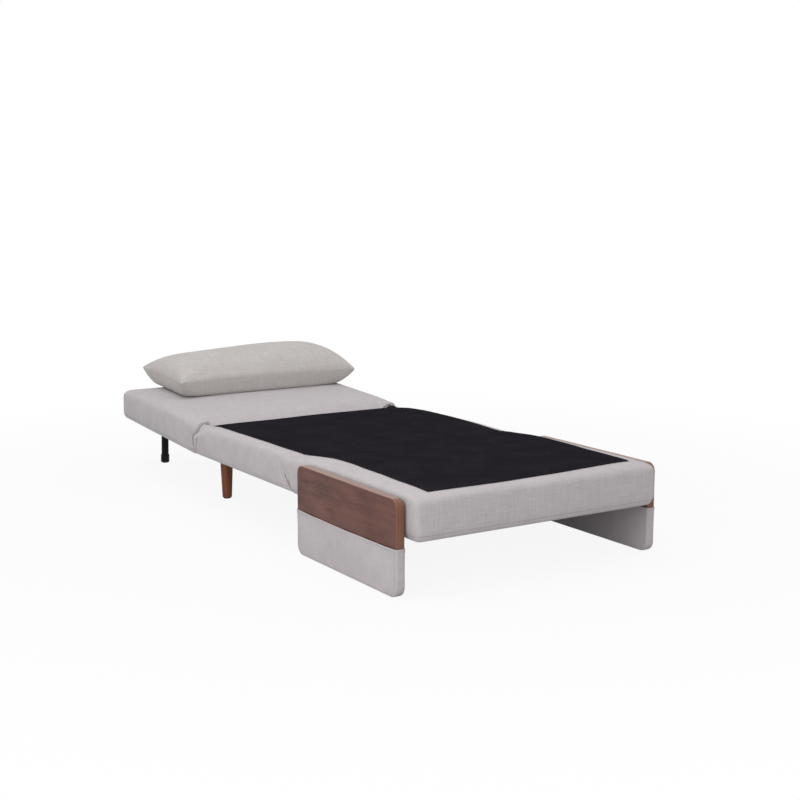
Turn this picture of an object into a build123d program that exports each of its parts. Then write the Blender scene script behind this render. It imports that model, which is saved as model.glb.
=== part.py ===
from build123d import *
import os
from math import cos, radians, sin, sqrt

# Convertible chair bed, stored flat as a bed.
# X is the width, +Y runs to the head end, +Z is up, and the origin is on the floor.
# Lengths are in millimetres, angles in degrees.

# --- The three upholstered sections ---
WIDTH = 760.0
BASE_LENGTH = 651.0
FOOT_LENGTH = 643.0
HEAD_LENGTH = 611.0
THICKNESS = 105.0
UNDERSIDE = 142.0
HEAD_RISE = 3.0
SEAM_GAP = 3.0
BASE_RADII = (26.0, 24.0, 9.0)
FOOT_RADII = (36.0, 34.0, 26.0)
HEAD_RADII = (26.0, 22.0, 9.0)
FABRIC = 1.5
PANEL = 1.0
PANEL_SIDE_MARGIN = 44.0
PANEL_FOOT_MARGIN = 62.0
FLANGE = 40.0
FLANGE_LAP = 12.0

# --- Timber frames, webbing, springs and foam ---
RAIL_WIDTH = 18.0
RAIL_HEIGHT = 55.0
FRAME_INSET = 12.0
FRAME_CORNER = 12.0
BLOCK_LENGTH = 92.0
BLOCK_DEPTH = 52.0
BLOCK_HEIGHT = 28.0
WEB_WIDTH = 50.0
WEB_THICKNESS = 2.0
LONG_WEBS = 4
CROSS_WEBS = 4
SEAT_FOAM = 24.0
SPRING_LAYER = 6.0
SPRING_WIRE = 3.4
WIRE_FACES = 8
SPRING_WIDTH = 56.0
SPRING_BARS = 17
SPRING_COUNT = 4
CLIP_LENGTH = 20.0
LEG_RAIL_WIDTH = 40.0

# --- Hinge plates, pins and screws ---
PLATE = 2.5
PIN_FIT = 0.05
SLIDE_GAP = 0.3
NOTCH_CLEARANCE = 1.0
HINGE_SCREW_RADIUS = 2.2
HINGE_SCREW_HEAD_RADIUS = 4.5
HINGE_SCREW_HEAD = 2.0
HINGE_SCREW_LENGTH = 14.0

# --- Fold hinges between base and foot section ---
FOLD_RISE = 2.0
FOLD_EYE = 6.0
FOLD_NOTCH = 16.0
FOLD_PIN_RADIUS = 3.0
FOLD_PIN_HEAD = 1.5
FOLD_HINGE_WIDTH = 60.0
FOLD_HINGE_INSET = 150.0
FOLD_LEAF_DROP = 46.0
FOLD_SCREW_SPREAD = 36.0
FOLD_SCREW_RISE = 12.0

# --- Ratchet hinges between base and head section ---
RECLINE_DEPTH = 8.0
RECLINE_EYE = 7.5
RECLINE_SEATS = (50.0, 120.0)
PLATE_END = 12.0
PLATE_MARGIN = 1.0
RIVET_HEAD_RADIUS = 6.0
RIVET_HEAD = 2.0
RECLINE_NOTCH = 16.0
RECLINE_PIN_RADIUS = 4.0
TOOTH_ROOT = 22.0
TOOTH_TIP = 26.0
TOOTH_COUNT = 12
SECTOR_START = 187.0
SECTOR_SWEEP = 72.0
TOOTH_LEAN = 0.8
PAWL_ANGLE = 227.0
PAWL_LENGTH = 9.0
PAWL_WIDTH = 8.0

# --- Turned wooden legs ---
LEG_TOP_RADIUS = 21.0
LEG_FOOT_RADIUS = 15.0
LEG_SIDE_INSET = 90.0
LEG_END_INSET = 46.0
LEG_EDGE = 1.5
GLIDE_RADIUS = 12.0
GLIDE_HEIGHT = 3.0
GLIDE_EDGE = 1.0
GLIDE_NAIL_RADIUS = 1.5
GLIDE_NAIL_LENGTH = 12.0
BOLT_RADIUS = 4.0
BOLT_FIT = 0.1
LEG_BOLT_GRIP = 26.0

# --- Arm boards, which stand on the floor as legs in the bed position ---
BOARD_LENGTH = 502.0
BOARD_THICKNESS = 24.0
BOARD_GAP = 11.0
BOARD_SETBACK = 37.0
BOARD_RADIUS = 24.0
BOARD_EDGE = 2.0
SLEEVE = 1.5
SLEEVE_HEIGHT = 125.0
SLEEVE_RADIUS = 30.0
SLEEVE_EASE = 0.1
SPACER_RADIUS = 10.0
SPACER_HOLE_EASE = 0.5
ARM_BOLT_HEAD_RADIUS = 6.5
ARM_BOLT_HEAD = 5.0
ARM_BOLT_BITE = 13.0
INSERT_RADIUS = 6.0
ARM_BOLT_STEPS = (0.15, 0.5, 0.85)
ARM_BOLT_RISE = 12.0

# --- Folding tube leg under the head section ---
TUBE_RADIUS = 12.5
TUBE_WALL = 1.5
TUBE_BEND = 36.0
TUBE_SPREAD = 470.0
TUBE_END_INSET = 40.0
TUBE_CLEARANCE = 0.6
CLAMP_PLATE = 3.0
CLAMP_WIDTH = 26.0
CLAMP_SPREAD = 320.0
CLAMP_FLANGE = 17.0
CLAMP_SCREW_RADIUS = 2.2
CLAMP_SCREW_HEAD_RADIUS = 4.6
CLAMP_SCREW_HEAD = 2.6
CLAMP_SCREW_LENGTH = 16.0
FOOT_CAP_RADIUS = 15.0
FOOT_CAP_HEIGHT = 28.0
FOOT_CAP_BASE = 8.0
FOOT_CAP_EDGE = 3.0

# --- Pillow ---
PILLOW_LENGTH = 680.0
PILLOW_DEPTH = 346.0
PILLOW_HEIGHT = 148.0
PILLOW_OFFSET = 58.0
PILLOW_REACH = 487.0
PILLOW_CLEARANCE = 0.3
PILLOW_CORNER = 24.0
PILLOW_ROUNDNESS = 2.4
PILLOW_SECTIONS = (0.0, 0.1, 0.28, 0.47, 0.66, 0.86, 1.0)
PILLOW_CLOTH = 1.5

# --- Places worked out from the sizes above ---
TOP = UNDERSIDE + THICKNESS
RISE = radians(HEAD_RISE)
PILLOW_REAR = PILLOW_REACH + PILLOW_DEPTH / 2
OVERALL_LENGTH = FOOT_LENGTH + BASE_LENGTH + PILLOW_REAR * cos(RISE)
FOLD_Y = FOOT_LENGTH - OVERALL_LENGTH / 2
RECLINE_Y = FOLD_Y + BASE_LENGTH
FOLD_Z = TOP + FOLD_RISE
FOLD_HINGE_X = WIDTH / 2 - FOLD_HINGE_INSET
RECLINE_Z = TOP - RECLINE_DEPTH

BASE_Y = (FOLD_Y + SEAM_GAP / 2, RECLINE_Y - SEAM_GAP / 2)
FOOT_Y = (FOLD_Y - FOOT_LENGTH, FOLD_Y - SEAM_GAP / 2)
HEAD_Y = (RECLINE_Y + SEAM_GAP / 2, RECLINE_Y + HEAD_LENGTH)
BASE_Z = (UNDERSIDE + PANEL, TOP - PANEL)
FOOT_Z = (UNDERSIDE, TOP - PANEL)
HEAD_Z = (UNDERSIDE, TOP)

BASE_FRAME_HALF = WIDTH / 2 - FRAME_INSET
PLATE_LAYER = PLATE + SLIDE_GAP
HEAD_FRAME_HALF = BASE_FRAME_HALF - PLATE_LAYER
RATCHET_X = BASE_FRAME_HALF - RAIL_WIDTH
BASE_FRAME_Z = (BASE_Z[0] + FABRIC, BASE_Z[0] + FABRIC + RAIL_HEIGHT)
HEAD_FRAME_Z = (HEAD_Z[0] + FABRIC, HEAD_Z[0] + FABRIC + RAIL_HEIGHT)
FOOT_FRAME_LOW = FOOT_Z[0] + FABRIC + SEAT_FOAM + SPRING_LAYER
FOOT_FRAME_Z = (FOOT_FRAME_LOW, FOOT_FRAME_LOW + RAIL_HEIGHT)

BOARD_INNER_X = WIDTH / 2 + BOARD_GAP
BOARD_OUTER_X = BOARD_INNER_X + BOARD_THICKNESS
BOARD_Y = (FOOT_Y[0] + BOARD_SETBACK, FOOT_Y[0] + BOARD_SETBACK + BOARD_LENGTH)
BOARD_Z = (SLEEVE, TOP)
ARM_BOLT_Z = FOOT_FRAME_Z[0] + ARM_BOLT_RISE

TUBE_Y = HEAD_Y[1] - TUBE_END_INSET
TUBE_Z = HEAD_Z[0] - TUBE_CLEARANCE - TUBE_RADIUS
LEG_X = WIDTH / 2 - LEG_SIDE_INSET
LEG_Y = (BASE_Y[0] + LEG_END_INSET, BASE_Y[1] - LEG_END_INSET)
SIDES = (("left", -1), ("right", 1))


def span_box(x_span, y_span, z_span):
    """Box between two corners."""
    size = [high - low for low, high in (x_span, y_span, z_span)]
    middle = [(high + low) / 2 for low, high in (x_span, y_span, z_span)]
    return Pos(*middle) * Box(*size)


def rod(x_span, y, z, radius):
    """Cylinder along X."""
    low, high = x_span
    return Pos((low + high) / 2, y, z) * Rot(0, 90, 0) * Cylinder(radius, high - low)


def grow(span, amount):
    """Span made longer by amount at both ends."""
    return (span[0] - amount, span[1] + amount)


def sided(side, low, high):
    """X span at a distance from the middle plane, on side -1 or +1."""
    return (low, high) if side > 0 else (-high, -low)


def inside(span, inset):
    """Span made shorter by inset at both ends."""
    return grow(span, -inset)


def cushion(y_span, z_span, radii, inset=0.0):
    """Soft-edged block of one section, drawn in by inset; radii are of corners, top and bottom."""
    corner, top, bottom = [radius - inset for radius in radii]
    half = WIDTH / 2 - inset
    block = span_box((-half, half), inside(y_span, inset), inside(z_span, inset))
    block = fillet(block.edges().filter_by(Axis.Z), corner)
    block = fillet(block.faces().sort_by(Axis.Z)[-1].edges(), top)
    return fillet(block.faces().sort_by(Axis.Z)[0].edges(), bottom)


def plate(profile, x_span):
    """Flat plate across X from a profile drawn in Y and Z."""
    low, high = x_span
    return extrude(Plane.YZ.offset(low) * profile, high - low)


def strap(circles):
    """Profile of a strap that runs round a row of circles, each (y, z, radius)."""
    profile = Sketch()
    for first, second in zip(circles, circles[1:]):
        ends = [Pos(y, z) * Circle(radius) for y, z, radius in (first, second)]
        profile += make_hull(ends[0].edges() + ends[1].edges())
    return profile


def rails(half, y_span, z_span):
    """Four rails of a section's frame, glued at the corners."""
    outer = span_box((-half, half), y_span, z_span)
    outer = fillet(outer.edges().filter_by(Axis.Z), FRAME_CORNER)
    hollow = span_box(inside((-half, half), RAIL_WIDTH), inside(y_span, RAIL_WIDTH), grow(z_span, 1))
    return outer - hollow


def frame_span(y_span):
    """Y span of the frame inside a section."""
    return inside(y_span, FRAME_INSET)


def webbing(half, y_span, z):
    """Straps stapled across the frame, lengthwise first and crosswise over them."""
    straps = []
    pitch = 2 * (half - RAIL_WIDTH) / LONG_WEBS
    for index in range(LONG_WEBS):
        middle = (index - (LONG_WEBS - 1) / 2) * pitch
        straps.append(span_box(grow((middle, middle), WEB_WIDTH / 2), y_span, (z, z + WEB_THICKNESS)))
    pitch = (y_span[1] - y_span[0] - 2 * RAIL_WIDTH) / CROSS_WEBS
    centre = (y_span[0] + y_span[1]) / 2
    level = (z + WEB_THICKNESS, z + 2 * WEB_THICKNESS)
    for index in range(CROSS_WEBS):
        middle = centre + (index - (CROSS_WEBS - 1) / 2) * pitch
        straps.append(span_box((-half, half), grow((middle, middle), WEB_WIDTH / 2), level))
    return Compound(straps)


def on_head(shape):
    """Turns a shape of the flat head section to its resting rise."""
    axis = Axis((0, RECLINE_Y, RECLINE_Z), (1, 0, 0))
    return shape.rotate(axis, HEAD_RISE)


def save(shape, node):
    """Writes one node as a STEP file."""
    export_step(shape, f"parts/{node}.step")


# --- Fold hinges: cranked leaves on the end rails, with their knuckles at the top ---

def fold_places():
    """X span of each fold hinge."""
    return [grow((side * FOLD_HINGE_X, side * FOLD_HINGE_X), FOLD_HINGE_WIDTH / 2) for _, side in SIDES]


def knuckle_spans(x_span, middle):
    """X spans of the middle knuckle, or of the two outer ones."""
    third = (x_span[1] - x_span[0]) / 3
    edges = (x_span[0] + third, x_span[1] - third)
    if middle:
        return [inside(edges, SLIDE_GAP / 2)]
    return [(x_span[0], edges[0] - SLIDE_GAP / 2), (edges[1] + SLIDE_GAP / 2, x_span[1])]


def fold_strap(x_span, direction, frame_z, middle):
    """Leaf of a fold hinge, screwed to the end rail on the +Y or -Y side of the fold line."""
    face = SEAM_GAP / 2 + FRAME_INSET
    crank_z = -FOLD_EYE + PLATE / 2
    upright_y = direction * (face - PLATE / 2)
    foot_z = frame_z[1] - FOLD_LEAF_DROP - FOLD_Z
    line = Polyline((0, crank_z), (upright_y, crank_z), (upright_y, foot_z))
    place = Pos(FOLD_Y, FOLD_Z)
    crank = plate(place * (trace(line, PLATE) + Circle(FOLD_EYE)), x_span)
    leaf = crank - rod(grow(x_span, 1), FOLD_Y, FOLD_Z, FOLD_PIN_RADIUS + PIN_FIT)
    reach = FOLD_EYE + SLIDE_GAP
    for low, high in knuckle_spans(x_span, not middle):
        room = (low - SLIDE_GAP, high + SLIDE_GAP)
        leaf -= span_box(room, grow((FOLD_Y, FOLD_Y), reach), grow((FOLD_Z, FOLD_Z), reach))
    return leaf - [hole for _, hole in fold_screws(x_span, direction, frame_z)]


def fold_screws(x_span, direction, frame_z):
    """Screws of one fold leaf with the hole that each needs."""
    face = FOLD_Y + direction * (SEAM_GAP / 2 + FRAME_INSET - PLATE)
    middle = (x_span[0] + x_span[1]) / 2
    z = frame_z[1] - FOLD_LEAF_DROP + FOLD_SCREW_RISE
    pairs = []
    for way in (-1, 1):
        place = Pos(middle + way * FOLD_SCREW_SPREAD / 2, face, z) * Rot(-90 * direction, 0, 0)
        shank = upright(HINGE_SCREW_RADIUS, (0, HINGE_SCREW_LENGTH))
        head = upright(HINGE_SCREW_HEAD_RADIUS, (-HINGE_SCREW_HEAD, 0))
        hole = upright(HINGE_SCREW_RADIUS + BOLT_FIT, (0, HINGE_SCREW_LENGTH))
        pairs.append((place * (shank + head), place * hole))
    return pairs


def fold_pin(x_span):
    """Pin through the knuckles of a fold hinge, with a head at each end."""
    pin = rod(grow(x_span, FOLD_PIN_HEAD), FOLD_Y, FOLD_Z, FOLD_PIN_RADIUS)
    for low in (x_span[0] - FOLD_PIN_HEAD, x_span[1]):
        pin += rod((low, low + FOLD_PIN_HEAD), FOLD_Y, FOLD_Z, FOLD_EYE - NOTCH_CLEARANCE)
    return pin


def fold_cuts(direction, frame_z):
    """Room in a section's padding for the knuckles, leaves and screw heads."""
    rail = SEAM_GAP / 2 + FRAME_INSET
    screw_top = rail - PLATE - HINGE_SCREW_HEAD - SLIDE_GAP
    depth = sorted(FOLD_Y + direction * reach for reach in (screw_top, rail))
    cuts = []
    for x_span in fold_places():
        cuts.append(rod(grow(x_span, FOLD_PIN_HEAD + NOTCH_CLEARANCE), FOLD_Y, FOLD_Z, FOLD_NOTCH))
        leaf_z = (frame_z[1] - FOLD_LEAF_DROP - SLIDE_GAP, FOLD_Z)
        cuts.append(span_box(grow(x_span, SLIDE_GAP), depth, leaf_z))
    return cuts


# --- Ratchet hinges: side plates about a rivet, with a toothed sector and a sprung pawl ---

def base_layer(side):
    """X span of the base's ratchet plates, which lie inside its side rails."""
    return sided(side, RATCHET_X - PLATE, RATCHET_X)


def head_layer(side):
    """X span of the head section's ratchet arms, beside the base's plates."""
    return sided(side, RATCHET_X - PLATE_LAYER - PLATE, RATCHET_X - PLATE_LAYER)


def recline_circles(direction, frame_z):
    """Eye of a ratchet plate and its screw seats, toward +Y or -Y of the seam."""
    seat_z = frame_z[1] - PLATE_END - PLATE_MARGIN
    seats = [(RECLINE_Y + direction * seat, seat_z, PLATE_END) for seat in RECLINE_SEATS]
    return [(RECLINE_Y, RECLINE_Z, RECLINE_EYE)] + seats


def pierced(circles):
    """Plate profile with its pin hole and screw holes."""
    profile = strap(circles)
    radii = [RECLINE_PIN_RADIUS + PIN_FIT] + [HINGE_SCREW_RADIUS + BOLT_FIT] * len(RECLINE_SEATS)
    for (y, z, _), radius in zip(circles, radii):
        profile -= Pos(y, z) * Circle(radius)
    return profile


def toothed_sector():
    """Ratchet teeth about the recline pin, as one profile from the eye outward."""
    step = SECTOR_SWEEP / TOOTH_COUNT
    points = [(0.0, 0.0)]
    for index in range(TOOTH_COUNT):
        start = SECTOR_START + index * step
        for angle, radius in ((start, TOOTH_ROOT), (start + step * TOOTH_LEAN, TOOTH_TIP)):
            points.append((radius * cos(radians(angle)), radius * sin(radians(angle))))
    last = radians(SECTOR_START + SECTOR_SWEEP)
    points.append((TOOTH_ROOT * cos(last), TOOTH_ROOT * sin(last)))
    teeth = make_face(Polyline(*points, close=True))
    hole = Circle(RECLINE_PIN_RADIUS + PIN_FIT)
    return Pos(RECLINE_Y, RECLINE_Z) * (teeth + Circle(RECLINE_EYE) - hole)


def pawl():
    """Sprung tooth that drops between the ratchet teeth, drawn lifted clear of them."""
    inner = TOOTH_TIP + SLIDE_GAP
    shoulder = inner + PAWL_WIDTH / 2
    outline = Polyline(
        (inner, 0), (shoulder, PAWL_WIDTH / 2), (inner + PAWL_LENGTH, PAWL_WIDTH / 2),
        (inner + PAWL_LENGTH, -PAWL_WIDTH / 2), (shoulder, -PAWL_WIDTH / 2), close=True)
    return Pos(RECLINE_Y, RECLINE_Z) * Rot(0, 0, PAWL_ANGLE) * make_face(outline)


def pawl_layer(side):
    """X span of a pawl, against the base's plate."""
    return sided(side, RATCHET_X - 2 * PLATE, RATCHET_X - PLATE)


def recline_rivet(side):
    """Rivet through both eyes of a ratchet hinge, with a head at each end."""
    inner = RATCHET_X - PLATE_LAYER - PLATE
    shank = sided(side, inner - RIVET_HEAD, RATCHET_X + RIVET_HEAD)
    rivet = rod(shank, RECLINE_Y, RECLINE_Z, RECLINE_PIN_RADIUS)
    for low in (inner - RIVET_HEAD, RATCHET_X):
        rivet += rod(sided(side, low, low + RIVET_HEAD), RECLINE_Y, RECLINE_Z, RIVET_HEAD_RADIUS)
    return rivet


def ratchet_screws(direction, frame_z, face):
    """Screws of both sides' ratchet plates and the holes they need, from the plates' rail face."""
    screws = []
    holes = []
    for _, side in SIDES:
        for y, z, _ in recline_circles(direction, frame_z)[1:]:
            shank = sided(side, face - PLATE, face - PLATE + HINGE_SCREW_LENGTH)
            head = sided(side, face - PLATE - HINGE_SCREW_HEAD, face - PLATE)
            screws.append(rod(shank, y, z, HINGE_SCREW_RADIUS) + rod(head, y, z, HINGE_SCREW_HEAD_RADIUS))
            holes.append(rod(shank, y, z, HINGE_SCREW_RADIUS + BOLT_FIT))
    return screws, holes


def ratchet_cuts(direction, frame_z):
    """Room in a section's padding and frame for the ratchet plates on both sides."""
    inner = RATCHET_X - PLATE_LAYER - PLATE - RIVET_HEAD - NOTCH_CLEARANCE
    room = strap([(y, z, radius + SLIDE_GAP) for y, z, radius in recline_circles(direction, frame_z)])
    cuts = []
    for _, side in SIDES:
        outer = RATCHET_X if direction < 0 else RATCHET_X - PLATE_LAYER
        cuts.append(plate(room, sided(side, inner, outer)))
        notch = sided(side, inner, RATCHET_X + RIVET_HEAD + NOTCH_CLEARANCE)
        cuts.append(rod(notch, RECLINE_Y, RECLINE_Z, RECLINE_NOTCH))
        if direction < 0:
            sweep = grow(head_layer(side), SLIDE_GAP)
            cuts.append(rod(sweep, RECLINE_Y, RECLINE_Z, TOOTH_TIP + SLIDE_GAP))
            cuts.append(plate(offset(pawl(), SLIDE_GAP), pawl_layer(side)))
    return cuts


# --- Base section ---

def leg_places():
    """Name and centre of each wooden leg."""
    for end, y in (("front", LEG_Y[0]), ("rear", LEG_Y[1])):
        for side_name, side in SIDES:
            yield f"leg_{end}_{side_name}", side * LEG_X, y


def wooden_leg():
    """Tapered turned leg, standing on its glide, bored for its bolt and nail."""
    height = UNDERSIDE - GLIDE_HEIGHT
    leg = Pos(0, 0, GLIDE_HEIGHT) * Cone(
        LEG_FOOT_RADIUS, LEG_TOP_RADIUS, height, align=(Align.CENTER, Align.CENTER, Align.MIN))
    leg = chamfer(leg.edges().sort_by(Axis.Z)[0], LEG_EDGE)
    bore_base = UNDERSIDE - LEG_BOLT_GRIP
    leg -= upright(BOLT_RADIUS + BOLT_FIT, (bore_base, UNDERSIDE))
    nail_top = GLIDE_HEIGHT + GLIDE_NAIL_LENGTH
    return leg - upright(GLIDE_NAIL_RADIUS + BOLT_FIT, (GLIDE_HEIGHT, nail_top))


def upright(radius, z_span):
    """Cylinder along Z on the origin's axis."""
    return Pos(0, 0, (z_span[0] + z_span[1]) / 2) * Cylinder(radius, z_span[1] - z_span[0])


def glide():
    """Plastic glide nailed under a wooden leg."""
    pad = upright(GLIDE_RADIUS, (0, GLIDE_HEIGHT))
    pad = fillet(pad.edges().sort_by(Axis.Z)[0], GLIDE_EDGE)
    return pad + upright(GLIDE_NAIL_RADIUS, (GLIDE_HEIGHT / 2, GLIDE_HEIGHT + GLIDE_NAIL_LENGTH))


def make_base():
    """Base section, its legs and its halves of the hinges."""
    frame_y = frame_span(BASE_Y)
    frame = rails(BASE_FRAME_HALF, frame_y, BASE_FRAME_Z)
    bolt_span = (UNDERSIDE - LEG_BOLT_GRIP, BASE_FRAME_Z[0] + LEG_BOLT_GRIP)
    bolt_room = []
    block_z = (BASE_FRAME_Z[0], BASE_FRAME_Z[0] + BLOCK_HEIGHT)
    for name, x, y in leg_places():
        side = 1 if x > 0 else -1
        rail_face = BASE_FRAME_HALF - RAIL_WIDTH
        x_span = sided(side, rail_face - BLOCK_LENGTH, rail_face)
        toward = 1 if "front" in name else -1
        near = frame_y[0] + RAIL_WIDTH if toward > 0 else frame_y[1] - RAIL_WIDTH - BLOCK_DEPTH
        frame += span_box(x_span, (near, near + BLOCK_DEPTH), block_z)
        bolt_room.append(Pos(x, y, 0) * upright(BOLT_RADIUS + BOLT_FIT, bolt_span))
    hinge_cuts = fold_cuts(1, BASE_FRAME_Z) + ratchet_cuts(-1, BASE_FRAME_Z)
    screws, screw_room = ratchet_screws(-1, BASE_FRAME_Z, RATCHET_X)
    for x_span in fold_places():
        for screw, hole in fold_screws(x_span, 1, BASE_FRAME_Z):
            screws.append(screw)
            screw_room.append(hole)
    save(Compound(screws), "base_hinge_screws")
    save(frame - bolt_room - screw_room - hinge_cuts, "base_frame")

    web_z = BASE_FRAME_Z[1]
    save(webbing(BASE_FRAME_HALF, frame_y, web_z), "base_webbing")
    core = cushion(BASE_Y, BASE_Z, BASE_RADII, FABRIC)
    hollow_top = web_z + 2 * WEB_THICKNESS
    hollow = span_box((-BASE_FRAME_HALF, BASE_FRAME_HALF), frame_y, (BASE_Z[0], hollow_top))
    save(core - hollow - hinge_cuts, "base_foam")

    opening = inside((-WIDTH / 2, WIDTH / 2), FLANGE), inside(BASE_Y, FLANGE)
    cover = cushion(BASE_Y, BASE_Z, BASE_RADII) - core - hinge_cuts - bolt_room
    save(cover - span_box(*opening, (UNDERSIDE, BASE_FRAME_Z[0])), "base_cover")
    dust = span_box(*[grow(span, FLANGE_LAP) for span in opening], (UNDERSIDE, UNDERSIDE + PANEL))
    save(dust - bolt_room, "base_dust_cover")
    panel_x = inside((-WIDTH / 2, WIDTH / 2), PANEL_SIDE_MARGIN)
    panel_y = inside(BASE_Y, BASE_RADII[1])
    save(span_box(panel_x, panel_y, (BASE_Z[1], TOP)), "base_sleep_panel")

    bolts = []
    glides = []
    for name, x, y in leg_places():
        save(Pos(x, y, 0) * wooden_leg(), name)
        bolts.append(Pos(x, y, 0) * upright(BOLT_RADIUS, inside(bolt_span, BOLT_FIT)))
        glides.append(Pos(x, y, 0) * glide())
    save(Compound(bolts), "leg_bolts")
    save(Compound(glides), "leg_glides")

    pins = []
    for (name, _), x_span in zip(SIDES, fold_places()):
        save(fold_strap(x_span, 1, BASE_FRAME_Z, False), f"fold_strap_base_{name}")
        pins.append(fold_pin(x_span))
    save(Compound(pins), "fold_rivets")
    for name, side in SIDES:
        ratchet = pierced(recline_circles(-1, BASE_FRAME_Z))
        save(plate(ratchet, base_layer(side)), f"ratchet_plate_{name}")
    save(Compound([plate(pawl(), pawl_layer(side)) for _, side in SIDES]), "ratchet_pawls")
    save(Compound([recline_rivet(side) for _, side in SIDES]), "recline_rivets")


# --- Foot section ---

def arm_bolt_places():
    """Y of each bolt that holds an arm board."""
    return [BOARD_Y[0] + BOARD_LENGTH * step for step in ARM_BOLT_STEPS]


def spring_clip(x, y):
    """Folded steel clip that holds the last bar of a spring under a rail."""
    height = SPRING_LAYER - FABRIC
    span = grow((y, y), height / 2)
    block = span_box(grow((x, x), CLIP_LENGTH / 2), span, (FOOT_FRAME_Z[0] - height, FOOT_FRAME_Z[0]))
    return block - rod(grow((x, x), CLIP_LENGTH), y, spring_z(), SPRING_WIRE / 2 + PIN_FIT)


def spring_z():
    """Height of the spring wire's middle line."""
    return FOOT_FRAME_Z[0] - (SPRING_LAYER - FABRIC) / 2


def sinuous_spring(x, y_span):
    """One zigzag spring, whose bars lie across X and are joined by half turns."""
    pitch = (y_span[1] - y_span[0]) / (SPRING_BARS - 1)
    turn = pitch / 2
    reach = SPRING_WIDTH / 2 - turn
    path = []
    for index in range(SPRING_BARS):
        y = y_span[0] + index * pitch
        way = 1 if index % 2 == 0 else -1
        path.append(Line((x - way * reach, y, 0), (x + way * reach, y, 0)))
        if index < SPRING_BARS - 1:
            bulge = (x + way * (reach + turn), y + turn, 0)
            path.append(ThreePointArc((x + way * reach, y, 0), bulge, (x + way * reach, y + pitch, 0)))
    wire = Wire(path)
    section = Plane(wire @ 0, z_dir=wire % 0) * RegularPolygon(SPRING_WIRE / 2, WIRE_FACES)
    return Pos(0, 0, spring_z()) * sweep(section, wire)


def board_outline(extra=0.0, low_radius=BOARD_RADIUS):
    """Side outline of an arm board, with rounded corners, grown by extra."""
    low, high = (BOARD_Y[0] - extra, BOARD_Z[0] - extra), (BOARD_Y[1] + extra, BOARD_Z[1] + extra)
    centre = Pos((low[0] + high[0]) / 2, (low[1] + high[1]) / 2)
    outline = centre * Rectangle(high[0] - low[0], high[1] - low[1])
    upper = outline.vertices().group_by(Axis.Y)[-1]
    outline = fillet(upper, BOARD_RADIUS + extra)
    lower = outline.vertices().group_by(Axis.Y)[0]
    return fillet(lower, low_radius + extra)


def arm_board(side):
    """Plywood arm board with eased edges and blind holes for its inserts."""
    board = plate(board_outline(low_radius=SLEEVE_RADIUS - SLEEVE), sided(side, BOARD_INNER_X, BOARD_OUTER_X))
    faces = board.faces().sort_by(Axis.X)
    board = fillet(faces[0].outer_wire().edges() + faces[-1].outer_wire().edges(), BOARD_EDGE)
    hole = sided(side, BOARD_INNER_X, BOARD_INNER_X + ARM_BOLT_BITE)
    return board - [rod(hole, y, ARM_BOLT_Z, INSERT_RADIUS + PIN_FIT) for y in arm_bolt_places()]


def arm_sleeve(side):
    """Fabric sock pulled over the lower part of an arm board."""
    low = SLEEVE_RADIUS - SLEEVE
    outer = plate(board_outline(SLEEVE, low), sided(side, BOARD_INNER_X - SLEEVE, BOARD_OUTER_X + SLEEVE))
    room_span = sided(side, BOARD_INNER_X - SLEEVE_EASE, BOARD_OUTER_X + SLEEVE_EASE)
    room = plate(board_outline(SLEEVE_EASE, low), room_span)
    above = span_box(
        sided(side, 0, WIDTH), grow(BOARD_Y, BOARD_LENGTH), (SLEEVE_HEIGHT, TOP + SLEEVE_HEIGHT))
    return outer - room - above


def foot_cuts():
    """Everything that the foot section's padding and cover make room for."""
    cuts = fold_cuts(-1, FOOT_FRAME_Z)
    for _, side in SIDES:
        span = sided(side, BASE_FRAME_HALF - RAIL_WIDTH, BOARD_INNER_X)
        for y in arm_bolt_places():
            cuts.append(rod(span, y, ARM_BOLT_Z, SPACER_RADIUS + SPACER_HOLE_EASE))
    return cuts


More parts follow.
